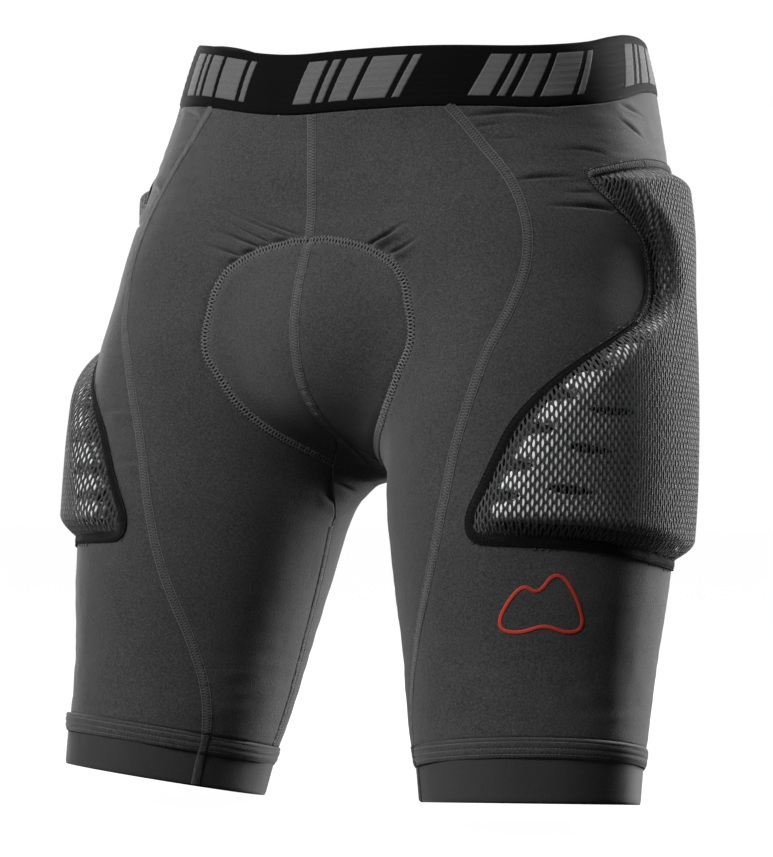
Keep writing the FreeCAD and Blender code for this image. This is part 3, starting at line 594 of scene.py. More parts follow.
def relief(p, side):
    """How far the worn cloth stands off the plain shape: creases, puckers and slack."""
    q = p * (side, 1, 1)
    lift = SLACK * noise(q, 55.0, 3) + DIMPLE * noise(q, (9, 9, 14), 5)
    # Fine cross ripples, stronger towards the hems and the crotch.
    leg = np.clip((-300 - p[..., 2]) / 110, 0, 1)
    lift += noise(q, (26, 26, 4.2), 11) * (LEG_RIPPLE + HEM_RIPPLE * leg**2)
    crotch = bell(p[..., 2] + 292, 26) * np.clip((70 - p[..., 0]) / 60, 0, 1)
    lift += noise(q, (20, 24, 5.5), 13) * CROTCH_RIPPLE * crotch
    # Fine, nearly level folds between the waistband and the hip pockets.
    hip = bell(p[..., 2] + 92, 26) * np.clip((p[..., 0] - 62) / 40, 0, 1)
    lift += noise(q + q[..., :1] * (0, 0, -0.10), (30, 30, 3.6), 37) * HIP_RIPPLE * hip
    lift += noise(q, (11, 11, 30), 17) * BAND_GATHER * bell(p[..., 2] - band_foot(p), 9.0)
    # The seat pad swells the cloth inside its stitching, which is drawn in.
    to_stitch, along = near_line(p, stitch_outline, 34)
    lift += np.where(to_stitch < 0, SEAT_SWELL * (1 - np.exp(to_stitch / 11)), 0)
    lift -= SEAT_DRAW * bell(to_stitch, 4.2)
    pucker = np.sin(along * 1.35 + 4 * noise(q, 12.0, 19)) * noise(q, 16.0, 23)
    lift += SEAT_PUCKER * pucker * np.exp(-np.abs(to_stitch) / 6.0)
    for k, line in enumerate(seam_lines):
        distance, along = near_line(p, line, 16)
        lift -= SEAM_DRAW * bell(distance, 3.4)
        pucker = np.sin(along * 1.1 + 5 * noise(q, 14.0, 29 + k))
        lift += SEAM_PUCKER * pucker * np.exp(-np.abs(distance) / 5.0)
    folds = np.zeros(lift.shape)
    for crease in [row[1:] for row in CREASES if row[0] == side] + SHARED_CREASES:
        folds += crease_lift(p, *crease)
    lift += folds * np.clip((to_stitch - 1.8) / 2.0, 0, 1)
    # Nothing stands up under the pocket, where the panel is held flat.
    depth = np.minimum.reduce(pocket_depths(angle_of(p, False), p[..., 2]))
    inside = np.clip(depth / 10, 0, 1) * (p[..., 0] > 60)
    return lift * (1 - HELD_UNDER_POCKET * inside)


# ---------------------------------------------------------------- meshes
def faded(share):
    """One below 0, nothing above 1, and half a cosine wave between."""
    return 0.5 + 0.5 * np.cos(math.pi * np.clip(share, 0, 1))


def posed(p):
    """The worn pose: the wearer's right hip stands a little higher than the left one."""
    share = 1 - faded(-p[:, 0] / HIP_POSE_REACH)
    share = share * faded((p[:, 1] - HIP_POSE_FRONT) / HIP_POSE_DEPTH)
    share = share * bell(p[:, 2] - HIP_POSE_HEIGHT, HIP_POSE_SPREAD)
    return p + HIP_POSE_SHIFT * share[:, None]


def to_row(p, side=1):
    q = posed(np.asarray(p, float).reshape(-1, 3) * (side, 1, 1))
    return (q + (0, 0, ORIGIN_RISE)) * 0.001


def patch_faces(rows, columns):
    """Faces of a closed patch between two grids of points: top, bottom, rim, and the rim's points."""
    index = np.arange(rows * columns).reshape(rows, columns)
    corners = index[:-1, :-1], index[1:, :-1], index[1:, 1:], index[:-1, 1:]
    top = np.stack(corners, axis=-1).reshape(-1, 4)
    shift = rows * columns
    loop = np.concatenate([index[:, 0], index[-1, 1:], index[-2::-1, -1], index[0, -2:0:-1]])
    after = np.roll(loop, -1)
    rim = np.stack([after, loop, loop + shift, after + shift], axis=-1)
    return top, top[:, ::-1] + shift, rim, loop


class Build:
    """Gathers points and faces for one mesh; faces keep their material."""

    def __init__(self, side=1):
        self.side = side
        self.points = []
        self.count = 0
        self.faces = []
        self.uv = []

    def add(self, points, blocks, material=0, uv=None):
        points = np.asarray(points, float).reshape(-1, 3)
        self.points.append(to_row(points, self.side))
        flat = np.zeros((len(points), 2)) if uv is None else np.asarray(uv, float).reshape(-1, 2)
        self.uv.append(flat * 0.001)
        for block in blocks:
            block = np.asarray(block, np.int64) + self.count
            self.faces.append((block if self.side > 0 else block[:, ::-1], material))
        self.count += len(points)

    def grid(self, outer, inner, uv=None):
        """A closed patch between two grids of points."""
        *blocks, _ = patch_faces(*outer.shape[:2])
        points = np.concatenate([outer.reshape(-1, 3), inner.reshape(-1, 3)])
        if uv is not None:
            uv = np.concatenate([uv.reshape(-1, 2)] * 2)
        self.add(points, blocks, 0, uv)

    def cloth(self, points, top, bottom, uv=None):
        """A closed patch between two heights above a grid of surface points."""
        n = normal(points)
        self.grid(points + n * top[..., None], points + n * bottom[..., None], uv)

    def loft(self, rings, material=0, closed=False, uv=None):
        """Rings of points joined into a tube; closed joins the last ring to the first."""
        count, sides = rings.shape[:2]
        index = np.arange(count * sides).reshape(count, sides)
        a = index if closed else index[:-1]
        b = np.roll(index, -1, axis=0) if closed else index[1:]
        faces = np.stack([a, np.roll(a, -1, 1), np.roll(b, -1, 1), b], axis=-1).reshape(-1, 4)
        ends = [] if closed else [index[:1, ::-1], index[-1:]]
        self.add(rings, [faces, *ends], material, uv)

    def finish(self, name, materials):
        mesh = bpy.data.meshes.new(name)
        points = np.concatenate(self.points)
        mesh.vertices.add(len(points))
        mesh.vertices.foreach_set("co", points.astype(np.float32).ravel())
        corners = np.concatenate([block.ravel() for block, _ in self.faces])
        sizes = np.concatenate([np.full(len(block), block.shape[1]) for block, _ in self.faces])
        kinds = np.concatenate([np.full(len(block), material) for block, material in self.faces])
        mesh.loops.add(len(corners))
        mesh.loops.foreach_set("vertex_index", corners.astype(np.int32))
        mesh.polygons.add(len(sizes))
        starts = np.concatenate([[0], np.cumsum(sizes)[:-1]])
        mesh.polygons.foreach_set("loop_start", starts.astype(np.int32))
        mesh.polygons.foreach_set("material_index", kinds.astype(np.int32))
        mesh.polygons.foreach_set("use_smooth", np.ones(len(sizes), bool))
        layer = mesh.uv_layers.new(name="UVMap")
        uv = np.concatenate(self.uv)[corners]
        layer.data.foreach_set("uv", uv.astype(np.float32).ravel())
        for material in materials:
            mesh.materials.append(material)
        mesh.update(calc_edges=True)
        mesh.validate()
        piece = bpy.data.objects.new(name, mesh)
        bpy.context.scene.collection.objects.link(piece)
        return piece


def settle(piece, slot, *nodes):
    """Every piece rides on the one body, and the CAD parts it stands in for are hidden."""
    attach(piece, "root")
    if nodes:
        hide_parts(*nodes)
    return piece


# ---------------------------------------------------------------- materials
def new_material(name):
    material = bpy.data.materials.new(name)
    material.use_nodes = True
    tree = material.node_tree
    return material, tree, tree.nodes["Principled BSDF"]


def set_inputs(node, values):
    """Gives a node's inputs plain values, or links those that come as another node's socket."""
    for key, value in values.items():
        if isinstance(value, bpy.types.NodeSocket):
            node.id_data.links.new(value, node.inputs[key])
        else:
            node.inputs[key].default_value = value


def wired(tree, kind, inputs, **settings):
    node = tree.nodes.new(kind)
    for key, value in settings.items():
        setattr(node, key, value)
    set_inputs(node, inputs)
    return node


def speckle(tree, where, size_mm, detail=2.0, low=0.3, high=0.7):
    """Noise with lumps of a size in millimetres, stretched to run from 0 to 1."""
    grain = wired(tree, "ShaderNodeTexNoise",
                  {"Vector": where, "Scale": 1000.0 / size_mm, "Detail": detail, "Roughness": 0.6})
    spread = wired(tree, "ShaderNodeMapRange",
                   {"Value": grain.outputs["Fac"], "From Min": low, "From Max": high})
    return spread.outputs["Result"]


def mixed(tree, share, dark, light):
    """Two colours blended by share; each of the three may be a socket or a plain value."""
    node = wired(tree, "ShaderNodeMix", {"Factor": share}, data_type="RGBA")
    places = [k for k, socket in enumerate(node.inputs) if socket.type == "RGBA"]
    colours = [c if isinstance(c, bpy.types.NodeSocket) else (*c, 1.0) for c in (dark, light)]
    set_inputs(node, dict(zip(places, colours)))
    return next(socket for socket in node.outputs if socket.type == "RGBA")


def arithmetic(tree, operation, a, b):
    return wired(tree, "ShaderNodeMath", {0: a, 1: b}, operation=operation).outputs["Value"]


def surfaced(tree, shader, colour, grain, roughness, spread, height, bump):
    """Joins a colour, a roughness that follows the grain and small bumps to a shader."""
    rough = wired(tree, "ShaderNodeMapRange",
                  {"Value": grain, "To Min": roughness - spread, "To Max": min(roughness + spread, 1.0)})
    bumps = wired(tree, "ShaderNodeBump",
                  {"Height": height, "Strength": bump, "Distance": BUMP_DISTANCE})
    set_inputs(shader, {"Base Color": colour, "Roughness": rough.outputs["Result"],
                        "Normal": bumps.outputs["Normal"]})


def grey(level):
    return (level, level, level * 1.02)


BUMP_DISTANCE = 0.0004
# Weaves: which way the bands of loops run, and how the UV map is stretched under them.
WEAVES = {
    "knit": ("DIAGONAL", (1.0, 1.5, 1.0)),
    "rib": ("Y", (0.0, 1.0, 1.0)),
    "column": ("X", (1.0, 0.0, 1.0)),
}


def fabric(name, dark, light, roughness, sheen, grain_mm, weave_mm, bump, blotch=0.12,
           weave="knit", specular=0.12, even=0.4):
    """Cloth: mottled yarn colour, slow shade changes, a knit or rib from the UV map, and sheen."""
    material, tree, shader = new_material(name)
    place = tree.nodes.new("ShaderNodeTexCoord")
    where, flat = place.outputs["Object"], place.outputs["UV"]
    grain = speckle(tree, where, grain_mm, 4.0, 0.34, 0.66)
    fine = speckle(tree, where, grain_mm * 0.35, 1.0)
    slow = speckle(tree, where, 38.0, 3.0)
    yarn = mixed(tree, grain, dark, light)
    middle = [0.5 * (a + b) for a, b in zip(dark, light)]
    shade = mixed(tree, slow, [v * (1 - 2 * blotch) for v in middle], [v * (1 + 2 * blotch) for v in middle])
    direction, stretch = WEAVES[weave]
    stretched = wired(tree, "ShaderNodeMapping", {"Vector": flat, "Scale": stretch})
    wave = wired(tree, "ShaderNodeTexWave",
                 {"Vector": stretched.outputs["Vector"], "Scale": 1000.0 / weave_mm / 20 * math.pi,
                  "Distortion": 1.2, "Detail": 1.0, "Detail Scale": 2.0},
                 wave_type="BANDS", bands_direction=direction)
    height = arithmetic(tree, "ADD", arithmetic(tree, "MULTIPLY", wave.outputs["Fac"], 0.35),
                        arithmetic(tree, "ADD", fine, grain))
    surfaced(tree, shader, mixed(tree, even, yarn, shade), grain, roughness, 0.08, height, bump)
    set_inputs(shader, {"Sheen Weight": sheen, "Sheen Roughness": 0.45, "Specular IOR Level": specular})
    return material


def smooth_stuff(name, dark, light, roughness, grain_mm, bump, specular=0.4, pore_mm=0.0):
    """Moulded or foamed material: shade changes, small dents and, for foam, open pores."""
    material, tree, shader = new_material(name)
    where = tree.nodes.new("ShaderNodeTexCoord").outputs["Object"]
    grain = speckle(tree, where, grain_mm, 3.0)
    slow = speckle(tree, where, 24.0, 2.0)
    share = arithmetic(tree, "ADD", arithmetic(tree, "MULTIPLY", grain, 0.5),
                       arithmetic(tree, "MULTIPLY", slow, 0.5))
    height = grain
    if pore_mm:
        pores = wired(tree, "ShaderNodeTexVoronoi", {"Vector": where, "Scale": 1000.0 / pore_mm})
        height = arithmetic(tree, "ADD", grain, pores.outputs["Distance"])
    surfaced(tree, shader, mixed(tree, share, dark, light), grain, roughness, 0.1, height, bump)
    set_inputs(shader, {"Specular IOR Level": specular})
    return material


# Cloths: name, darkest and palest grey, roughness, sheen, grain and weave in mm, bump, the rest.
CLOTHS = [
    ("stretch_knit", 0.018, 0.080, 0.86, 0.25, 1.1, 0.5, 0.45, {"even": 0.3}),
    ("waist_elastic", 0.0028, 0.0055, 0.8, 0.02, 1.0, 1.3, 0.4,
     {"blotch": 0.1, "weave": "rib", "specular": 0.03}),
    ("waist_elastic_mark", 0.085, 0.14, 0.8, 0.05, 0.9, 1.0, 0.4, {"blotch": 0.06, "weave": "rib"}),
    ("band_lining", 0.012, 0.022, 0.9, 0.3, 1.0, 0.8, 0.3, {}),
    ("seam_thread", 0.11, 0.20, 0.8, 0.2, 0.7, 0.5, 0.3, {}),
    ("seam_base", 0.032, 0.066, 0.85, 0.25, 0.8, 1.3, 0.5, {"blotch": 0.08, "weave": "column"}),
    ("dark_thread", 0.005, 0.012, 0.8, 0.1, 0.7, 0.5, 0.3, {"blotch": 0.1, "specular": 0.05}),
    ("binding_tape", 0.010, 0.026, 0.85, 0.1, 0.9, 1.5, 0.6,
     {"blotch": 0.1, "weave": "column", "specular": 0.05}),
    ("binding_overlock", 0.014, 0.032, 0.85, 0.2, 0.9, 1.2, 0.6, {"blotch": 0.1, "weave": "column"}),
    ("pocket_net", 0.030, 0.060, 0.8, 0.35, 0.8, 0.5, 0.3, {}),
    ("gripper_knit", 0.030, 0.046, 0.8, 0.2, 1.2, 0.9, 0.2, {"blotch": 0.08, "weave": "column"}),
    ("foam_backing", 0.012, 0.025, 0.9, 0.1, 1.0, 0.6, 0.3, {}),
]
cloths = {}
for name, dark, light, *numbers, rest in CLOTHS:
    cloths[name] = fabric(name, grey(dark), grey(light), *numbers, **rest)
knit = cloths["stretch_knit"]
thread = cloths["seam_thread"]
dark_thread = cloths["dark_thread"]
pad_cloth = fabric("seat_pad_cloth", (0.028, 0.029, 0.033), (0.05, 0.052, 0.058), 0.92, 0.4, 1.0, 0.6, 0.3)
foam = smooth_stuff("pad_foam", (0.74, 0.75, 0.76), (0.88, 0.89, 0.90), 0.85, 2.5, 0.35,
                    specular=0.25, pore_mm=0.9)
silicone = smooth_stuff("grip_silicone", grey(0.012), grey(0.02), 0.45, 1.5, 0.1)
print_red = smooth_stuff("emblem_print", (0.42, 0.026, 0.012), (0.60, 0.045, 0.02), 0.55, 0.8, 0.3)


# ---------------------------------------------------------------- camera, light and stage
def aimed(obj, place, target):
    obj.location = place
    obj.rotation_euler = (Vector(target) - Vector(place)).to_track_quat("-Z", "Y").to_euler()


VIEW_TURN = math.radians(30.35)
VIEW_TILT = math.radians(1.81)
CAMERA_PLACE = (0.7869, -1.3934, -0.292)
forward = (-math.sin(VIEW_TURN) * math.cos(VIEW_TILT), math.cos(VIEW_TURN) * math.cos(VIEW_TILT),
           math.sin(VIEW_TILT))
camera = bpy.data.objects.new("camera", bpy.data.cameras.new("camera"))
bpy.context.scene.collection.objects.link(camera)
camera.data.sensor_width = 36.0
camera.data.lens = 103.4
camera.data.clip_start = 0.05
camera.data.clip_end = 60.0
camera.data.dof.use_dof = False
aimed(camera, CAMERA_PLACE, [CAMERA_PLACE[k] + forward[k] for k in range(3)])
bpy.context.scene.camera = camera
bpy.context.scene.view_settings.view_transform = "Standard"


MIDDLE = (0.0, -0.03, -0.24)
# Soft lamps: name, azimuth from the front towards the wearer's left and height in degrees,
# distance, width and height in metres, power in watts.
LAMPS = [
    ("key", -16, 36, 2.2, 1.1, 1.0, 50),
    ("left_strip", -68, 12, 1.9, 0.5, 1.3, 10.5),
    ("rim_right", 158, 12, 1.6, 0.5, 1.3, 80),
    ("rim_left", -118, 16, 1.6, 0.5, 1.3, 30),
]
for name, azimuth, rise, away, width, tall, power in LAMPS:
    data = bpy.data.lights.new(name, "AREA")
    data.shape = "RECTANGLE"
    data.size = width
    data.size_y = tall
    data.energy = power
    lamp = bpy.data.objects.new(name, data)
    bpy.context.scene.collection.objects.link(lamp)
    turn, tilt = math.radians(azimuth), math.radians(rise)
    aimed(lamp, (MIDDLE[0] + away * math.sin(turn) * math.cos(tilt),
                 MIDDLE[1] - away * math.cos(turn) * math.cos(tilt),
                 MIDDLE[2] + away * math.sin(tilt)), MIDDLE)

world = bpy.data.worlds.new("studio")
world.use_nodes = True
WHITE = (1.0, 1.0, 1.0, 1.0)
set_inputs(world.node_tree.nodes["Background"], {"Color": WHITE, "Strength": 0.06})
bpy.context.scene.world = world


def stage_sheet(name, points, faces, glow, base):
    mesh = bpy.data.meshes.new(name)
    mesh.from_pydata(points, [], faces)
    material, _, shader = new_material(name)
    set_inputs(shader, {"Base Color": (base, base, base, 1.0), "Roughness": 0.9, "Specular IOR Level": 0.0,
                        "Emission Color": WHITE, "Emission Strength": glow})
    mesh.materials.append(material)
    obj = bpy.data.objects.new(name, mesh)
    bpy.context.scene.collection.objects.link(obj)
    obj.visible_diffuse = False
    obj.visible_glossy = False
    return obj


def dome(radius, rings, sides):
    points = []
    faces = []
    for i in range(rings + 1):
        tilt = math.pi * (i / rings - 0.5)
        for k in range(sides):
            turn = 2 * math.pi * k / sides
            points.append((radius * math.cos(tilt) * math.cos(turn),
                           radius * math.cos(tilt) * math.sin(turn), radius * math.sin(tilt)))
    for i in range(rings):
        for k in range(sides):
            a, b = i * sides + k, i * sides + (k + 1) % sides
            faces.append((a, b, b + sides, a + sides))
    return points, faces


backdrop = stage_sheet("backdrop", *dome(24.0, 16, 32), 1.0, 0.0)
backdrop.visible_shadow = False
backdrop.visible_transmission = False
floor_height = cad_box[0][2] - 0.0005
FLOOR_HALF = 16.0
around = ((-1, -1), (1, -1), (1, 1), (-1, 1))
floor_corners = [(x * FLOOR_HALF, y * FLOOR_HALF, floor_height) for x, y in around]
stage_sheet("floor", floor_corners, [(0, 1, 2, 3)], 0.985, 0.10)

# ---------------------------------------------------------------- cloth panels
ROWS_PER_PANEL = 290
# Rows stand this many times closer together between these heights, where the creases are fine.
FINE_ROWS = 2.6
FINE_HEIGHTS = (-165.0, -58.0)


def graded(points, rows):
    """The same line of points with its rows closer together where the creases are fine."""
    points = evenly(points, 1200)
    low, high = FINE_HEIGHTS
    z = points[:, 2]
    weight = 1 + (FINE_ROWS - 1) * faded((low - z) / 20) * faded((z - high) / 20)
    along = np.concatenate([[0], np.cumsum(0.5 * (weight[1:] + weight[:-1]))])
    return points_at(np.linspace(0, along[-1], rows), along, points)


def panel_surface(left, right, rows, columns, behind):
    """Surface points between two seam lines from the waistband to the hem, and their UV in mm."""
    left = graded(left, rows)
    right = graded(right, rows)
    u = np.linspace(0, 1, columns)
    a0, a1 = angle_of(left, behind), angle_of(right, behind)
    bends = []
    for row, plane, shift in ((0, band_foot, -2 * EDGE_GAP), (rows - 1, panel_foot, 0.0)):
        straight = left[row, 2] + (right[row, 2] - left[row, 2]) * u
        bends.append(height_on(plane, shift, leg_point, a0[row] + (a1[row] - a0[row]) * u) - straight)
    down = ((left[0, 2] - left[:, 2]) / (left[0, 2] - left[-1, 2]))[:, None]
    gap = (EDGE_GAP / np.maximum(np.linalg.norm(right - left, axis=1), 10.0))[:, None]
    across = gap + (1 - 2 * gap) * u
    z = left[:, 2:3] + (right[:, 2:3] - left[:, 2:3]) * across
    z = z + bends[0] * (1 - down) ** 3 + bends[1] * down**3
    points = leg_point(a0[:, None] + (a1 - a0)[:, None] * across, z)
    width = np.linalg.norm(np.diff(points, axis=1), axis=2)
    run = np.concatenate([np.zeros((rows, 1)), np.cumsum(width, axis=1)], axis=1)
    run = run - run[:, columns // 2 : columns // 2 + 1]
    return points, np.stack([run, points[..., 2]], axis=-1)


GUSSET_MARGIN = 0.004


def gusset_surface(steps):
    """Surface points filling the four-sided gap between the legs, and their UV in mm."""
    start, end = gusset_front[0], gusset_back[0]
    mirror = np.array((-1.0, 1, 1))
    share = np.linspace(GUSSET_MARGIN, 1 - GUSSET_MARGIN, steps)
    front = evenly(gusset_front, 201)
    back = evenly(gusset_back, 201)
    pick = np.linspace(0, 1, 201)
    u, v = np.meshgrid(share, share, indexing="ij")
    w_u, w_v = u[..., None], v[..., None]
    sides = points_at(u, pick, front) * (1 - w_v) + points_at(1 - u, pick, back) * mirror * w_v
    sides += points_at(v, pick, front) * mirror * (1 - w_u) + points_at(1 - v, pick, back) * w_u
    corners = start * ((1 - w_u) * (1 - w_v)) + side_tip * (w_u * (1 - w_v))
    corners = corners + side_tip * mirror * ((1 - w_u) * w_v) + end * (w_u * w_v)
    points = landed(sides - corners)
    return points, points[..., :2]


front_left = np.concatenate([centre_front, gusset_front[1:], inseam[1:]])
back_right = np.concatenate([centre_back, gusset_back[1:], inseam[1:]])
# Columns of points across a panel are thinned out by this share; at 1.0 every column is kept.
column_share = 1.0
PANELS = [
    ("front_panel", panel_surface(front_left, princess, ROWS_PER_PANEL, int(96 * column_share), False),
     (0.165, 0.395), 0.0430),
    ("side_panel", panel_surface(princess, rear, ROWS_PER_PANEL, int(172 * column_share), False),
     (0.280, 0.415), 0.0820),
    ("back_panel", panel_surface(rear, back_right, ROWS_PER_PANEL, int(140 * column_share), True),
     (0.235, 0.430), 0.0630),
]
for name, (points, uv), flat, area in PANELS:
    for side, word in SIDES:
        lift = relief(points, side)
        build = Build(side)
        build.cloth(points, lift, lift - FABRIC, uv)
        piece = build.finish(f"{name}_{word}_cloth", [knit])
        settle(piece, "knit", f"{name}_{word}")

points, uv = gusset_surface(91)
lift = relief(points, 1)
lift = 0.5 * (lift + lift.T)
build = Build()
build.cloth(points, lift, lift - FABRIC, uv)
gusset = settle(build.finish("crotch_gusset_cloth", [knit]), "knit", "crotch_gusset")


# ---------------------------------------------------------------- seams and stitches
class Line:
    """A line on the surface that seams and threads follow."""

    def __init__(self, points, side, closed=False):
        self.points = landed(evenly(points, len(points)))
        self.along = run_along(self.points)
        self.length = self.along[-1]
        self.lift = relief(self.points, side)
        if closed:
            step = np.roll(self.points[:-1], -1, axis=0) - np.roll(self.points[:-1], 1, axis=0)
            step = np.concatenate([step, step[:1]])
        else:
            step = np.gradient(self.points, axis=0)
        across = np.cross(normal(self.points), step)
        self.across = across / np.linalg.norm(across, axis=1, keepdims=True)

    def at(self, along, offset, lift):
        """Points at distances along, off to the side and above the cloth."""
        along, offset, lift = np.broadcast_arrays(along, offset, lift)
        across = points_at(along, self.along, self.across) * offset[..., None]
        base = landed(points_at(along, self.along, self.points) + across)
        return lifted(base, np.interp(along, self.along, self.lift) + lift)


def band_of(line, width, thick, base=0.0, start=0.0, end=None, step=1.5, shift=None):
    """Rings of a flat tape with a slightly crowned top, along a line; width may vary along it."""
    end = line.length if end is None else end
    count = max(4, int((end - start) / step))
    along = np.linspace(start, end, count)[:, None]
    half = 0.5 * (width(along) if callable(width) else width)
    offsets = np.array([-1, -0.93, -0.6, 0, 0.6, 0.93, 1, 0.6, 0, -0.6]) * half
    if shift is not None:
        offsets = offsets + shift(along)
    tops = np.array([0.3, 0.8, 0.97, 1.05, 0.97, 0.8, 0.3, 0, 0, 0])
    return line.at(along, offsets[..., ::-1], base + thick * tops[::-1])


def thread_rings(path, up, radius, sides=5):
    """Rings round a thread that follows a path; up is the surface direction at each point."""
    step = np.gradient(path, axis=0)
    step /= np.maximum(np.linalg.norm(step, axis=1, keepdims=True), 1e-9)
    across = np.cross(up, step)
    across /= np.maximum(np.linalg.norm(across, axis=1, keepdims=True), 1e-9)
    lift = np.cross(step, across)
    turn = 2 * math.pi * (np.arange(sides) + 0.5) / sides
    circle = across[:, None] * np.cos(turn)[None, :, None] + lift[:, None] * np.sin(turn)[None, :, None]
    return path[:, None] + radius * circle


def zigzag(line, pitch, half, low, high, phase=0.0, start=0.0, end=None, points=4, shift=0.0):
    """A thread that crosses the line to and fro, dipping into the cloth at each turn."""
    end = line.length if end is None else end
    count = int((end - start - phase * pitch) / pitch * 2)
    t = np.arange(count * points + 1) / points
    along = start + phase * pitch + t * pitch * 0.5
    t, along = t[along > start - 0.01], along[along > start - 0.01]
    wave = 1 - 2 * np.abs((t % 2) - 1)
    share = t % 1
    lift = low + (high - low) * np.sin(math.pi * share) ** 0.7
    if callable(half):
        half = half(along)
    if callable(shift):
        shift = shift(along)
    path = line.at(along, shift + half * wave, lift)
    return path, normal(path)


def running(line, offset, pitch, low, high, start=0.0, end=None, points=4):
    """A row of stitches along the line."""
    end = line.length if end is None else end
    count = int((end - start) / pitch)
    t = np.arange(count * points + 1) / points
    lift = low + (high - low) * np.sin(math.pi * (t % 1)) ** 0.6
    along = start + t * pitch
    path = line.at(along, offset(along) if callable(offset) else offset, lift)
    return path, normal(path)


# A flat seam: its tape, a zigzag across it and a row of stitches along each edge, in mm.
SEAM_TAPE = {"width": SEAM_WIDTH - 0.6, "thick": 0.42, "base": 0.1}
SEAM_PITCH = 1.8
SEAM_CROSSING = {"half": 2.3, "low": 0.40, "high": 0.60}
SEAM_CROSSING_RADIUS = 0.22
SEAM_ROWS = (-2.75, 2.75)
SEAM_ROW_RADIUS = 0.27


def flat_seam(name, points, side, node, start, end):
    """One flat seam, beginning and stopping these distances short of its line's ends."""
    line = Line(points, side)
    build = Build(side)
    ends = {"start": start, "end": line.length - end}
    build.loft(band_of(line, **SEAM_TAPE, **ends), 0)
    path, up = zigzag(line, SEAM_PITCH, **SEAM_CROSSING, **ends)
    build.loft(thread_rings(path, up, SEAM_CROSSING_RADIUS, 4), 1)
    for offset in SEAM_ROWS:
        path, up = running(line, offset, SEAM_PITCH, 0.2, 0.62, **ends)
        build.loft(thread_rings(path, up, SEAM_ROW_RADIUS, 4), 1)
    piece = build.finish(name, [cloths["seam_base"], thread])
    return settle(piece, "thread", node)


SEAM_END = 0.6
INNER_SEAM_START = 5.0
for side, word in SIDES:
    for node, points, start in (("front_seam", princess_stitched, 0.0), ("back_side_seam", rear, SEAM_END),
                                ("inner_leg_seam", inseam, INNER_SEAM_START)):
        flat_seam(f"{node}_{word}_stitched", points, side, f"{node}_{word}", start, SEAM_END)
# The middle seams run up to the seat stitch, just under its threads.
SEAM_MEETING = 0.6
PAD_SEAM_END = 181.0
BACK_SEAM_GAP = 3.6
front_above = centre_front[centre_front[:, 2] > SEAT_PAD_FRONT_HEIGHT + SEAM_MEETING]
flat_seam("centre_front_seam_stitched", front_above, 1, "centre_front_seam", SEAM_END, 0.0)
first, last = np.searchsorted(seat_along, (SEAM_MEETING, PAD_SEAM_END), side="right")
flat_seam("pad_centre_seam_stitched", seat_line[first:last], 1, "pad_centre_seam", 0.0, 0.0)
back_top = np.interp(SEAT_PAD_LENGTH, seat_along, seat_line[:, 2])
back_above = centre_back[centre_back[:, 2] > back_top + BACK_SEAM_GAP]
flat_seam("centre_back_seam_stitched", back_above, 1, "centre_back_seam", SEAM_END, SEAM_END)

# The seat stitch: two pale threads and a dark one zigzag over a dark tape.
STITCH_GAP = 0.1
STITCH_WIDTH = 5.8
STITCH_TAPE_THICK = 0.45
STITCH_PITCH = 4.6
# Its threads: phase, material, height and radius.
STITCH_THREADS = [(-0.25, 1, 0.95, 0.42), (-0.75, 1, 0.95, 0.42), (0.0, 0, 0.75, 0.38)]

for side, word in SIDES:
    line = Line(stitch_outline, side)
    build = Build(side)
    ends = {"start": STITCH_GAP, "end": line.length - STITCH_GAP}
    build.loft(band_of(line, STITCH_WIDTH, STITCH_TAPE_THICK, **ends), 0)
    for phase, which, high, radius in STITCH_THREADS:
        path, up = zigzag(line, STITCH_PITCH, 0.5 * STITCH_WIDTH, 0.25, high, phase, points=6, **ends)
        build.loft(thread_rings(path, up, radius, 5), which)
    piece = build.finish(f"seat_stitch_{word}_threads", [dark_thread, thread])
    settle(piece, "thread", f"seat_stitch_{word}")


# ---------------------------------------------------------------- waistband
def band_surface(angles, shares, top_inset=0.0, foot_inset=0.0):
    """Surface points under the band, as rows from its top edge to its foot."""
    top = height_on(band_top, -top_inset, hip_point, angles)
    foot = height_on(band_foot, foot_inset, hip_point, angles)
    shares = np.asarray(shares)[:, None]
    return hip_point(angles[None, :], top + (foot - top) * shares)


def band_slack(p):
    return BAND_SLACK * noise(p, (30, 30, 60), 41)


def band_rib(share):
    """Fine ribs along the band; share runs from its top edge to its foot."""
    return RIB_DEPTH * np.cos(share * BAND_HEIGHT * 2 * math.pi / RIB_PITCH)


def band_piece(name, material, points, outer_lift, inner_lift, arc, heights):
    """A closed band: its section runs down the outer face and back up the inner one."""
    n = normal(points)
    outer = points + n * np.asarray(outer_lift)[..., None]
    inner = points + n * np.asarray(inner_lift)[..., None]
    uv = np.stack(np.meshgrid(arc, np.concatenate([heights, heights[::-1]]), indexing="ij"), axis=-1)
    build = Build()
    build.loft(np.concatenate([outer, inner[::-1]]).transpose(1, 0, 2), 0, True, uv)
    return build.finish(name, [material])


BAND_HEIGHT = 38.0
BAND_ARC = 860.0
BAND_ROWS = 40
BAND_SLACK = 0.35
BAND_ROUNDING = 2.2
RIB_PITCH = 4.2
RIB_DEPTH = 0.10
LINING_INSET = 6.0
LINING_HEIGHT = 26.0
BAND_TURNS = 720
band_angles = np.linspace(-180, 180, BAND_TURNS, endpoint=False)
arc = np.linspace(0, BAND_ARC, BAND_TURNS)
section = np.linspace(0, 1, BAND_ROWS)
points = band_surface(band_angles, section)
from_edge = np.minimum(section, 1 - section) * BAND_HEIGHT
rounding = np.clip(1 - from_edge / BAND_ROUNDING, 0, 1) ** 2
outer_lift = BAND_PROUD - 0.9 * rounding + band_rib(section) * (from_edge > 2)
inner_lift = BAND_PROUD - BAND_THICK + 0.6 * rounding
slack = band_slack(points)
piece = band_piece("waistband_elastic", cloths["waist_elastic"], points, outer_lift[:, None] + slack,
                   inner_lift[:, None] + slack, arc, section * BAND_HEIGHT)
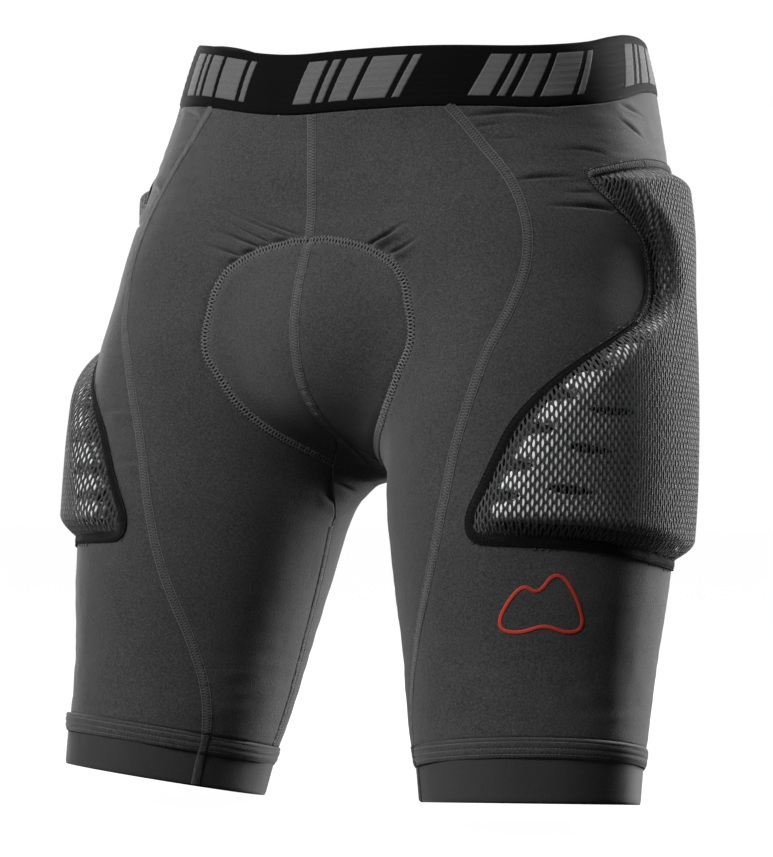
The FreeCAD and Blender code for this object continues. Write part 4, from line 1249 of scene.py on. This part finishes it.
waistband = settle(piece, "elastic", "waistband")

lining_section = np.linspace(0, 1, 16)
points = band_surface(band_angles[::2], lining_section, LINING_INSET, LINING_INSET)
base = BAND_PROUD - BAND_THICK
piece = band_piece("waistband_lining_tape", cloths["band_lining"], points, base - 0.1, base - 0.8,
                   arc[::2], lining_section * LINING_HEIGHT)
band_lining = settle(piece, "lining", "waistband_lining")

# A plain woven motif: groups of slanted bars of different widths.
MOTIF_BARS = [(0, 13), (17, 5), (26, 13), (43, 21), (68, 5)]
MOTIF_REPEAT = 121.0
MOTIF_START = -8.0
MOTIF_HEIGHT = (0.16, 0.84)
MOTIF_SLANT = 11.0
MOTIF_ROWS = 34
ring_angles = np.linspace(-180, 180, 721)
ring_along = run_along(band_surface(ring_angles, [0.5])[0])
ring_zero = np.interp(0.0, ring_angles, ring_along)
groups = int(round(ring_along[-1] / MOTIF_REPEAT))
down = np.linspace(*MOTIF_HEIGHT, MOTIF_ROWS)[:, None]
lean = MOTIF_SLANT * (0.5 - np.linspace(0, 1, MOTIF_ROWS)[:, None])
build = Build()
for g in range(groups):
    for begin, width in MOTIF_BARS:
        low = np.linspace(0, width, max(4, width))[None, :]
        place = MOTIF_START + g * ring_along[-1] / groups + begin + low + lean
        place = (ring_zero + place) % ring_along[-1]
        angle = np.interp(place, ring_along, ring_angles)
        top = height_on(band_top, 0.0, hip_point, angle)
        foot = height_on(band_foot, 0.0, hip_point, angle)
        p = hip_point(angle, top + (foot - top) * down)
        lift = BAND_PROUD + band_rib(down) + band_slack(p)
        uv = np.stack(np.broadcast_arrays(place, down * BAND_HEIGHT), axis=-1)
        build.cloth(p, lift + 0.10, lift - 0.35, uv)
settle(build.finish("waistband_motif", [cloths["waist_elastic_mark"]]), "elastic")


# ---------------------------------------------------------------- leg ends
rim_down = RIM_DIRECTION / np.linalg.norm(RIM_DIRECTION)
rim_x = np.cross(rim_down, (0.0, 1.0, 0.0))
rim_x /= np.linalg.norm(rim_x)
rim_y = np.cross(rim_down, rim_x)


def rim_point(turn, up, radius):
    """A point on the leg end: turn round its axis, distance up from the rim, radius."""
    turn, up, radius = np.broadcast_arrays(turn, up, radius)
    spoke = np.cos(turn)[..., None] * rim_x + np.sin(turn)[..., None] * rim_y
    return RIM_MIDDLE - rim_down * up[..., None] + spoke * radius[..., None]


def ring_band(turns, profile, waver=0.0, seed=0):
    """A closed band round the leg end from a closed profile of (height, radius)."""
    profile = np.array(profile, float)
    p = rim_point(turns[:, None], profile[None, :, 0], profile[None, :, 1])
    spread = waver * noise(p, (22, 22, 50), seed)
    return rim_point(turns[:, None], profile[None, :, 0], profile[None, :, 1] + spread)


LEG_TURNS = 480
turns = np.linspace(0, 2 * math.pi, LEG_TURNS, endpoint=False)
hem_foot = GRIPPER_LENGTH + EDGE_GAP
# Tilt of each gripper's lower edge, per side: along x and along y.  It sits lower in front.
GRIPPER_SAG = {1: (-0.041, 0.071), -1: (0.0, 0.012)}
# Grooves stitched into the hem: where they lie up it, half width as a share of it, depth.
HEM_GROOVES = [(0.78, 0.055, 1.0), (0.46, 0.05, 0.8), (0.16, 0.05, 0.8)]
HEM_STITCHES = 190
HEM_THREAD_RADIUS = 0.26
HEM_OVERLAP = 0.3
GRIPPER_FLARE = 2.3
GRIPPER_TUCK = 3.0
# How far the hem and the gripper waver from a true ring.
HEM_WAVER = 0.55
GRIPPER_WAVER = 0.45
# Silicone drops: rows, drops in a row, height of the first row and step, circle they sit on.
DROP_ROWS = 4
DROPS_ROUND = 84
DROP_FOOT = 5.2
DROP_STEP = 3.2
DROP_CIRCLE = 62.8
# Rings of one silicone drop: height above the band and radius.
DROP_RINGS = [(0.0, 1.25), (0.45, 1.05), (0.72, 0.55)]
drop_turns = 2 * math.pi * np.arange(8) / 8
# The front seam's turned-up end: half width and thickness.
TAIL_HALF = 2.6
TAIL_THICK = 1.1


def hem_profile():
    """Closed section of the folded hem: rounded outside with its stitched grooves, flat inside."""
    rows = []
    for share in np.linspace(0, 1, 25):
        bulge = 1 - abs(2 * share - 1) ** 5
        groove = sum(deep * bell(share - place, wide) for place, wide, deep in HEM_GROOVES)
        rows.append((share, HEM_RADIUS - 1.2 + 1.3 * bulge - 0.55 * groove))
    rows += [(share, HEM_RADIUS - HEM_THICK) for share in np.linspace(1, 0, 5)]
    low, length = hem_foot - HEM_OVERLAP, HEM_LENGTH + 2 * HEM_OVERLAP
    return [(low + length * share, radius + HEM_FLARE * share) for share, radius in rows]


def gripper_profile():
    """Closed section of the gripper band, which runs up inside the hem."""
    length = GRIPPER_LENGTH + GRIPPER_TUCK
    rows = []
    for share in np.linspace(0, 1, 17):
        edge = min(share * length, 3.0)
        rib = 0.06 * math.cos(length * share * 2 * math.pi / 3.4)
        rows.append((share, RIM_RADIUS - 0.1 - 0.5 * max(0, 1 - edge / 1.2) ** 2 + rib))
    rows += [(share, RIM_RADIUS - GRIPPER_THICK) for share in np.linspace(1, 0, 6)]
    return [(length * share, radius + GRIPPER_FLARE * share) for share, radius in rows]


def sagged(p, side):
    """Moves a leg end's lower edge along the leg; nothing moves at the hem."""
    ahead = (RIM_MIDDLE - p) @ rim_down
    share = np.clip(1 - ahead / GRIPPER_LENGTH, 0, 1)
    a, b = GRIPPER_SAG[side]
    drop = (p[..., 0] - RIM_MIDDLE[0]) * a + (p[..., 1] - RIM_MIDDLE[1]) * b
    return p + (0, 0, 1) * (drop * share)[..., None]


def groove_thread(share):
    """A row of stitches in a groove of the hem, and the outward direction along it."""
    t = np.arange(HEM_STITCHES * 4 + 1) / 4
    turn = t / HEM_STITCHES * 2 * math.pi
    up = np.full(len(t), hem_foot + HEM_LENGTH * share)
    radius = HEM_RADIUS + HEM_FLARE * share - 0.75 + 0.5 * np.sin(math.pi * (t % 1)) ** 0.6
    radius = radius + HEM_WAVER * noise(rim_point(turn, up, radius), (22, 22, 50), 51)
    return rim_point(turn, up, radius), rim_point(turn, up, radius) - rim_point(turn, up, 0.0)


def seam_tail(foot):
    """Outer and inner faces of a seam's turned-up end, which runs down over hem and gripper."""
    spoke = foot - RIM_MIDDLE
    middle = math.atan2(spoke @ rim_y, spoke @ rim_x)
    up = np.linspace(hem_foot + HEM_LENGTH, 0.8, 60)[:, None]
    turn = middle + np.linspace(-TAIL_HALF, TAIL_HALF, 9)[None, :] / RIM_RADIUS
    on_hem = np.clip((up - hem_foot + 1.2) / 1.5, 0, 1)
    gripper_radius = RIM_RADIUS + 0.1 * up
    hem_radius = HEM_RADIUS + HEM_FLARE * (up - hem_foot) / HEM_LENGTH
    crown = 0.9 - 0.7 * (np.linspace(-1, 1, 9)[None, :]) ** 4
    radius = gripper_radius + (hem_radius - gripper_radius) * on_hem + crown
    return rim_point(turn, up, radius), rim_point(turn, up, radius - TAIL_THICK)


for side, word in SIDES:
    build = Build(side)
    profile = hem_profile()
    uv = np.stack(np.meshgrid(turns * 65, [row[0] for row in profile], indexing="ij"), axis=-1)
    build.loft(ring_band(turns, profile, HEM_WAVER, 51), 0, True, uv)
    for share, _, _ in HEM_GROOVES:
        path, outward = groove_thread(share)
        outward /= np.linalg.norm(outward, axis=1, keepdims=True)
        build.loft(thread_rings(path, outward, HEM_THREAD_RADIUS, 4), 1)
    outer, inner = seam_tail(princess[-1])
    build.grid(sagged(outer, side), sagged(inner, side))
    hem = settle(build.finish(f"leg_hem_{word}_folded", [knit, thread]), "knit", f"leg_hem_{word}")

    build = Build(side)
    profile = gripper_profile()
    uv = np.stack(np.meshgrid(turns * 64, [row[0] for row in profile], indexing="ij"), axis=-1)
    build.loft(sagged(ring_band(turns, profile, GRIPPER_WAVER, 53), side), 0, True, uv)
    piece = build.finish(f"leg_gripper_{word}_band", [cloths["gripper_knit"]])
    grip = settle(piece, "gripper", f"leg_gripper_{word}")

    # Silicone drops in staggered rows on the inside of the gripper.
    build = Build(side)
    for row in range(DROP_ROWS):
        up = DROP_FOOT + DROP_STEP * row
        for k in range(DROPS_ROUND):
            turn = 2 * math.pi * (k + 0.5 * (row % 2)) / DROPS_ROUND
            rings = [rim_point(turn + size * np.cos(drop_turns) / DROP_CIRCLE, up + size * np.sin(drop_turns),
                               RIM_RADIUS - GRIPPER_THICK - rise) for rise, size in DROP_RINGS]
            build.loft(sagged(np.stack(rings)[:, ::-1], side), 0)
    settle(build.finish(f"silicone_grip_{word}_drops", [silicone]), "silicone", f"silicone_grip_{word}")


# ---------------------------------------------------------------- hip pads in their pockets
def pocket_place(u, w):
    """Angle and height in the pocket: u from the front edge to the back, w from foot to top."""
    u, w = np.broadcast_arrays(u, w)
    z = POCKET_LOW + POCKET_HEIGHT * w
    for _ in range(30):
        angle = pocket_front.one(z)
        angle = angle + (POCKET_BACK - angle) * u
        foot = pocket_foot.one(angle)
        z = 0.5 * z + 0.5 * (foot + (pocket_top.one(angle) - foot) * w)
    return angle, z


def cover_lift(angle, z):
    """Height of the padded surface above the side panel."""
    shares = [(depth - MESH_INSET) / ramp for depth, ramp in zip(pocket_depths(angle, z), PAD_RAMPS)]
    across = smooth_min(shares[0], shares[1], PAD_BLEND)
    nearest = smooth_min(across, smooth_min(shares[2], shares[3], PAD_BLEND), PAD_BLEND)
    return FOAM_HEIGHT * np.sin(0.5 * math.pi * np.clip(nearest, 0, 1))


def notch(z):
    """Depth of the notches that cut into the foam's front edge."""
    cut = np.zeros(np.shape(z))
    for height in NOTCHES:
        share = np.abs(z - height) / NOTCH_HALF_WIDTH
        cut = np.maximum(cut, NOTCH_DEPTH * np.cos(0.5 * math.pi * np.minimum(share, 1)) ** 0.6)
    return cut


def foam_rows(rows, columns):
    """Angles and heights over the foam, from its notched front edge to its back."""
    w = np.linspace(FOAM_INSET_FOOT / POCKET_HEIGHT, 1 - FOAM_INSET_TOP / POCKET_HEIGHT, rows)
    edge_angle, edge_z = pocket_place(np.zeros(rows), w)
    span = np.radians(POCKET_BACK - edge_angle) * POCKET_RADIUS
    cut = np.radians(foam_front.one(edge_z) - edge_angle) * POCKET_RADIUS + notch(edge_z)
    share = (0.5 - 0.5 * np.cos(np.linspace(0, math.pi, columns)))[None, :]
    low, high = (cut / span)[:, None], (1 - FOAM_INSET_BACK / span)[:, None]
    return pocket_place(low + (high - low) * share, np.broadcast_to(w[:, None], (rows, columns)))


def net_lift(angle, z):
    """The net rises over the foam and lies flat on the panel under its binding."""
    depth = np.minimum.reduce(pocket_depths(angle, z))
    return cover_lift(angle, z) + 0.05 + 0.75 * np.clip((depth - 3.5) / 4, 0, 1)


FOAM_ROWS = 320
FOAM_SHOULDER = 2.4
FOAM_LOWER = 0.2
FOAM_LEAST = 0.9
FOAM_DENT = 0.12
SLOT_FLOOR = 0.5
SLOT_EDGE = 0.9
angle, z = foam_rows(FOAM_ROWS, 130)
p = leg_point(angle, z)
border = np.concatenate([p[0], p[1:-1, -1], p[-1, ::-1], p[-2:0:-1, 0]])
flat_p = p.reshape(-1, 3)
gap = np.full(len(flat_p), 1e3)
for part in np.array_split(np.arange(len(flat_p)), 12):
    gap[part] = np.sqrt(((flat_p[part][:, None] - border[None]) ** 2).sum(-1).min(1))
to_border = np.minimum(gap.reshape(p.shape[:-1]) / FOAM_SHOULDER, 1)
shoulder = np.sqrt(1 - (1 - to_border) ** 2)
foam_top = np.maximum((cover_lift(angle, z) + 0.75) * (0.25 + 0.75 * shoulder), FOAM_LEAST)
slot = np.zeros(z.shape)
for first, last, level, half_height, drop in FOAM_SLOTS:
    share = (angle - first) / (last - first)
    lens = half_height * np.sqrt(np.clip(4 * share * (1 - share), 0, 1)) * (1.15 - 0.5 * share)
    slot = np.maximum(slot, lens - np.abs(z - level + drop * share))
slot = np.clip(slot / SLOT_EDGE, 0, 1)
foam_top = foam_top * (1 - slot) + SLOT_FLOOR * slot
for side, word in SIDES:
    build = Build(side)
    dents = FOAM_DENT * noise(p * (side, 1, 1), 5.0, 61)
    build.cloth(p, foam_top + dents - 0.15, np.full(p.shape[:2], FOAM_LOWER))
    # The cloth behind shows at the bottom of each slot.
    deep = slot > 0.5
    cut = (deep[:-1, :-1] | deep[1:, 1:] | deep[1:, :-1] | deep[:-1, 1:]).ravel()
    block, _ = build.faces[0]
    build.faces[0] = (block[~cut], 0)
    build.faces.insert(1, (block[cut], 1))
    piece = build.finish(f"hip_foam_{word}_pad", [foam, cloths["foam_backing"]])
    settle(piece, "foam", f"hip_foam_{word}")

NET_COLUMN = 2.08
NET_ROW = 6.6
HOLE_HALF = (0.75, 2.6)
NET_MARGIN = 1.6
NET_THICK = 0.42
NET_WANDER = 0.12
NET_SLACK = 0.10
# The grid of cells starts and stops this far past the pocket: two angles, then two heights.
NET_PAST_FRONT = 8.0
NET_PAST_BACK = 4.0
NET_PAST_FOOT = 18.0
NET_PAST_TOP = 12.0


def net_cells():
    """Middles of the net's cells, in mm round the leg and up it."""
    low = math.radians(-NET_PAST_FRONT) * POCKET_RADIUS
    high = math.radians(POCKET_BACK + NET_PAST_BACK) * POCKET_RADIUS
    columns = int((high - low) / NET_COLUMN)
    rows = int((POCKET_HEIGHT + NET_PAST_FOOT + NET_PAST_TOP) / NET_ROW)
    i, j = np.meshgrid(np.arange(columns), np.arange(rows), indexing="ij")
    across = low + NET_COLUMN * (i + 0.5)
    up = POCKET_LOW - NET_PAST_FOOT + NET_ROW * (j + 0.5 * (i % 2))
    middle = np.stack([across, up], axis=-1).reshape(-1, 2)
    angle, z = np.degrees(middle[:, 0] / POCKET_RADIUS), middle[:, 1]
    return middle[np.minimum.reduce(pocket_depths(angle, z)) > NET_MARGIN]


middles = net_cells()
# The outline of one cell, shared with its neighbours, in half columns and half rows.
frame_cell = np.array([(-1, -1), (0, -1), (1, -1), (1, -0.5), (1, 0), (1, 0.5), (1, 1), (0, 1),
                       (-1, 1), (-1, 0.5), (-1, 0), (-1, -0.5)], float)
frame_cell = frame_cell * (0.5 * NET_COLUMN, 0.5 * NET_ROW)
# Each hole is a tall lens: widest in the middle, nearly pointed above and below.
tall = np.array([-0.80, -1, -0.80, -0.42, 0, 0.42, 0.80, 1, 0.80, 0.42, 0, -0.42])
broad = np.array([-0.52, 0, 0.52, 0.88, 1, 0.88, 0.52, 0, -0.52, -0.88, -1, -0.88])
hole = np.stack([broad * HOLE_HALF[0], tall * HOLE_HALF[1]], axis=1)
outline = middles[:, None] + frame_cell[None]
keys = np.round(outline / (0.25 * NET_COLUMN, 0.25 * NET_ROW)).astype(np.int64)
unique, index = np.unique(keys.reshape(-1, 2), axis=0, return_inverse=True)
corner_place = np.zeros((len(unique), 2))
corner_place[index.ravel()] = outline.reshape(-1, 2)
places = np.concatenate([corner_place, (middles[:, None] + hole[None]).reshape(-1, 2)])
# The net is drawn tight over the pad: its threads wander a little from cell to cell.
spots = np.concatenate([places, np.zeros((len(places), 1))], axis=1)
places = places + NET_WANDER * np.stack([noise(spots, 3.0, seed) for seed in (71, 73)], axis=1)
net_angle, net_z = np.degrees(places[:, 0] / POCKET_RADIUS), places[:, 1]
net_p = leg_point(net_angle, net_z)
net_rise = net_lift(net_angle, net_z)
cells = len(middles)
ring_out = index.reshape(cells, 12)
ring_in = len(unique) + np.arange(cells * 12).reshape(cells, 12)
a, b = ring_out, np.roll(ring_out, -1, axis=1)
c, d = np.roll(ring_in, -1, axis=1), ring_in
top_faces = np.stack([a, b, c, d], axis=-1).reshape(-1, 4)
total = len(places)
walls = np.stack([d, c, c + total, d + total], axis=-1).reshape(-1, 4)
edge_pairs = np.stack([a, b], axis=-1).reshape(-1, 2)
packed = np.sort(edge_pairs, axis=1)
_, inverse, uses = np.unique(packed[:, 0] * total + packed[:, 1], return_inverse=True, return_counts=True)
open_edges = edge_pairs[uses[inverse.ravel()] == 1]
first, second = open_edges.T
rim = np.stack([second, first, first + total, second + total], axis=-1)
for side, word in SIDES:
    build = Build(side)
    rise = net_rise + NET_SLACK * noise(net_p * (side, 1, 1), 16.0, 77)
    upper, lower = lifted(net_p, rise + NET_THICK), lifted(net_p, rise)
    blocks = [top_faces, top_faces[:, ::-1] + total, walls, rim]
    build.add(np.concatenate([upper, lower]), blocks, 0, np.concatenate([places, places]))
    piece = build.finish(f"hip_mesh_{word}_net", [cloths["pocket_net"]])
    settle(piece, "mesh", f"hip_mesh_{word}")


def binding_line():
    """The pocket's edge, all the way round: over the top, down the front, along the foot, up."""
    parts = []
    for u0, w0, u1, w1, count in ((1.0, 1.0, 0.0, 1.0, 120), (0.0, 1.0, 0.0, 0.0, 280),
                                  (0.0, 0.0, 1.0, 0.0, 140), (1.0, 0.0, 1.0, 1.0, 200)):
        t = np.arange(count) / count
        angle, z = pocket_place(u0 + (u1 - u0) * t, w0 + (w1 - w0) * t)
        parts.append(leg_point(angle, z))
    return np.concatenate(parts)


def softened(points, passes):
    """A closed line of points with its corners smoothed away."""
    for _ in range(passes):
        points = (np.roll(points, 1, 0) + points * 2 + np.roll(points, -1, 0)) * 0.25
    return points


edge = binding_line()
edge = softened(evenly(np.concatenate([edge, edge[:1]]), 641)[:-1], 40)
edge = np.concatenate([edge[60:], edge[:61]])


# Binding widths, and the height where its narrow upper edge turns into the wide lower one.
BINDING_NARROW = 5.0
BINDING_WIDER = 2.3
BINDING_TURN = -178.0
BINDING_TURN_LENGTH = 24.0
BINDING_GAP = 0.3
BINDING_THREAD_SHARE = 0.44


def lower_part(along):
    """0 on the upper, narrow overlocked edge and 1 on the lower, wide folded edge."""
    z = np.interp(along, binding_run, edge[:, 2])
    share = np.clip((BINDING_TURN - z) / BINDING_TURN_LENGTH, 0, 1)
    return share * share * (3 - 2 * share)


def binding_width(along):
    return BINDING_NARROW + BINDING_WIDER * lower_part(along)


def binding_shift(along):
    """How far the binding's middle lies outside the pocket's edge."""
    return BINDING_GAP + 0.5 * binding_width(along)


def binding_reach(along):
    """How far the binding's threads reach to each side of its middle."""
    return BINDING_THREAD_SHARE * binding_width(along)


BINDING_THICK = 1.15
# Zigzags on the binding: phase, and materials on its lower and upper part.
BINDING_THREADS = [(0.0, 1, 3), (0.25, 1, 1), (0.5, 1, 3)]
# Height, radius and pitch of those threads on each part.
LOWER_THREAD = (1.45, 0.30, 3.0)
UPPER_THREAD = (1.60, 0.36, 4.2)
SHORTEST_PART = 6.0

for side, word in SIDES:
    line = Line(edge, side, closed=True)
    binding_run = line.along
    last = line.length - 0.5
    build = Build(side)
    rings = band_of(line, binding_width, BINDING_THICK, 0.0, 0.0, last, 1.4, binding_shift)
    folded = lower_part(np.linspace(0, last, len(rings))) > 0.5
    changes = [0] + list(np.flatnonzero(folded[1:] != folded[:-1]) + 1) + [len(rings) - 1]
    for first, after in zip(changes, changes[1:]):
        lower = folded[first]
        build.loft(rings[first : after + 1], 0 if lower else 2)
        begin, stop = first * last / (len(rings) - 1), after * last / (len(rings) - 1)
        if stop - begin < SHORTEST_PART:
            continue
        high, radius, pitch = LOWER_THREAD if lower else UPPER_THREAD
        for phase, lower_kind, upper_kind in BINDING_THREADS:
            path, up = zigzag(line, pitch, binding_reach, 0.75, high, phase, begin, stop, 5, binding_shift)
            build.loft(thread_rings(path, up, radius, 4), lower_kind if lower else upper_kind)
    path, up = running(line, lambda a: binding_shift(a) - binding_reach(a), 2.4, 0.6, 1.25, 0.0, last)
    build.loft(thread_rings(path, up, 0.34, 4), 1)
    materials = [cloths["binding_tape"], dark_thread, cloths["binding_overlock"], thread]
    piece = build.finish(f"pocket_binding_{word}_tape", materials)
    settle(piece, "binding", f"pocket_binding_{word}")


# ---------------------------------------------------------------- seat pad and tailbone pad
PUFF_STEP = 4
PUFF_CAP = 2.0
PUFF_FRAMES = 20
PUFF_SETTINGS = {
    "quality": 5, "mass": 0.03, "vertex_group_mass": "held", "use_pressure": True,
    "uniform_pressure_force": 4.0, "tension_stiffness": 5, "compression_stiffness": 5,
    "bending_stiffness": 0.1,
}


def puffed(outer, inner, cap):
    """How far a pad's inner face swells in a short cloth simulation of every fourth grid point.

    The outer face and the rim are held; no point may move further than cap.
    """
    far, near = outer[::PUFF_STEP, ::PUFF_STEP], inner[::PUFF_STEP, ::PUFF_STEP]
    rows, columns = near.shape[:2]
    shift = rows * columns
    *blocks, loop = patch_faces(rows, columns)
    faces = np.concatenate(blocks)
    before = np.concatenate([far.reshape(-1, 3), near.reshape(-1, 3)]) * 0.001
    mesh = bpy.data.meshes.new("puff")
    mesh.from_pydata(before.tolist(), [], faces.tolist())
    piece = bpy.data.objects.new("puff", mesh)
    bpy.context.scene.collection.objects.link(piece)
    held = piece.vertex_groups.new(name="held")
    held.add([int(k) for k in np.concatenate([np.arange(shift), loop + shift])], 1.0, "REPLACE")
    cloth = piece.modifiers.new("cloth", "CLOTH")
    for key, value in PUFF_SETTINGS.items():
        setattr(cloth.settings, key, value)
    cloth.settings.effector_weights.gravity = 0.0
    cloth.point_cache.frame_start = 1
    cloth.point_cache.frame_end = PUFF_FRAMES
    scene = bpy.context.scene
    for number in range(1, PUFF_FRAMES + 1):
        scene.frame_set(number)
    evaluated = piece.evaluated_get(bpy.context.evaluated_depsgraph_get())
    after = np.zeros(len(before) * 3, np.float32)
    evaluated.data.vertices.foreach_get("co", after)
    scene.frame_set(1)
    bpy.data.objects.remove(piece)
    bpy.data.meshes.remove(mesh)
    move = (after.reshape(-1, 3) - before)[shift:].reshape(rows, columns, 3) * 1000
    size = np.linalg.norm(move, axis=-1, keepdims=True)
    move = move * np.minimum(1.0, cap / np.maximum(size, 1e-9))
    for axis, count in ((0, inner.shape[0]), (1, inner.shape[1])):
        fine = np.linspace(0, move.shape[axis] - 1, count)
        low = np.minimum(fine.astype(int), move.shape[axis] - 2)
        share = (fine - low).reshape((-1, 1, 1) if axis == 0 else (1, -1, 1))
        share = share * share * (3 - 2 * share)
        move = np.take(move, low, axis) * (1 - share) + np.take(move, low + 1, axis) * share
    return move


# Channels moulded into the seat pad's inner face, and where the cross ones lie along it.
SEAT_CHANNEL_DEPTH = 2.2
SEAT_CHANNEL_SIDE = 0.62
SEAT_CHANNEL_PLACES = (96.0, 250.0, 330.0)
# The seat pad stays this far inside its stitching and this far under the cloth.
SEAT_PAD_INSET = 3.0
SEAT_PAD_GAP = 0.2
TAIL_PAD_GAP = 0.8
TAIL_PAD_EDGE = 2.0
TAIL_CHANNEL_DEPTH = 2.4


def seat_channel(distance, across):
    """Share of the full channel depth: one down the middle, one along each side, three across."""
    middle = np.clip((distance - 150) / 40, 0, 1) * np.clip((400 - distance) / 30, 0, 1)
    groove = np.maximum(bell(across, 0.05) * middle, bell(np.abs(across) - SEAT_CHANNEL_SIDE, 0.045))
    for place in SEAT_CHANNEL_PLACES:
        groove = np.maximum(groove, bell(distance - place - 14 * across**2, 2.6))
    return groove


distance = np.linspace(0, SEAT_PAD_LENGTH, 197)[:, None]
across = np.linspace(-1, 1, 81)[None, :]
half = seat_pad.one(distance) - SEAT_PAD_INSET
p = seat_across(distance, across * half)
ends = np.clip(np.minimum(distance, SEAT_PAD_LENGTH - distance) / 30, 0, 1)
swell = (1 - across**4) * np.sin(0.5 * math.pi * ends)
seat_pad_top = np.full(p.shape[:2], -FABRIC - SEAT_PAD_GAP)
depth = SEAT_PAD_EDGE + (SEAT_PAD_MIDDLE - SEAT_PAD_EDGE) * swell
depth = depth - SEAT_CHANNEL_DEPTH * seat_channel(distance, across) * swell
build = Build()
uv = np.stack(np.broadcast_arrays(across * half, distance), axis=-1)
build.cloth(p, seat_pad_top, seat_pad_top - depth, uv)
seat = settle(build.finish("seat_pad_moulded", [pad_cloth]), "seat_pad", "seat_pad")

v = np.linspace(-1, 1, 61)[:, None]
u = np.linspace(-1, 1, 61)[None, :]
narrow = TAIL_PAD_HALF[1] * (1 - 0.25 * (1 - v) * 0.5) * np.sqrt(1 - 0.35 * v * v)
height = TAIL_PAD_MIDDLE + TAIL_PAD_HALF[0] * v * np.sqrt(1 - 0.30 * u * u)
p = hip_point(180 - np.degrees(narrow * u / TAIL_PAD_RADIUS), height)
n = normal(p)
swell = 1 - np.maximum(np.abs(u), np.abs(v)) ** 5
pad_top = FABRIC + EDGE_GAP + TAIL_PAD_GAP
channels = np.maximum(bell(np.abs(u) - 0.5, 0.06), bell(np.abs(v) - 0.45, 0.06))
thick = TAIL_PAD_EDGE + (TAIL_PAD_THICK - TAIL_PAD_GAP - TAIL_PAD_EDGE - PUFF_CAP) * swell
upper = p - n * pad_top
lower = p - n * (pad_top + thick)[..., None]
lower = lower + puffed(upper, lower, PUFF_CAP)
lower = lower + n * (TAIL_CHANNEL_DEPTH * channels * swell)[..., None]
build = Build()
uv = np.stack(np.broadcast_arrays(narrow * u, height), axis=-1)
build.grid(upper, lower, uv)
tail = settle(build.finish("tail_pad_quilted", [pad_cloth]), "foam", "tail_pad")


# ---------------------------------------------------------------- emblem
def rounded(corners, passes):
    corners = np.array(corners, float)
    for _ in range(passes):
        after = np.roll(corners, -1, axis=0)
        pairs = np.stack([corners * 0.75 + after * 0.25, corners * 0.25 + after * 0.75], axis=1)
        corners = pairs.reshape(-1, 2)
    return corners


corners = rounded(EMBLEM_CORNERS, 4)
corners = np.concatenate([corners, corners[:1]])
angle = EMBLEM_MIDDLE[0] + np.degrees(corners[:, 0] / EMBLEM_RADIUS)
emblem_points = softened(evenly(leg_point(angle, EMBLEM_MIDDLE[1] + corners[:, 1]), 121)[:-1], 8)
emblem_points = evenly(np.concatenate([emblem_points, emblem_points[:1]]), 241)
line = Line(emblem_points, 1, closed=True)
build = Build()
rings = band_of(line, EMBLEM_STROKE + 0.1, 0.33, 0.02, 0.0, line.length, 0.8)
build.loft(rings[:-1], 0, True)
settle(build.finish("thigh_emblem_print", [print_red]), "emblem", "thigh_emblem")
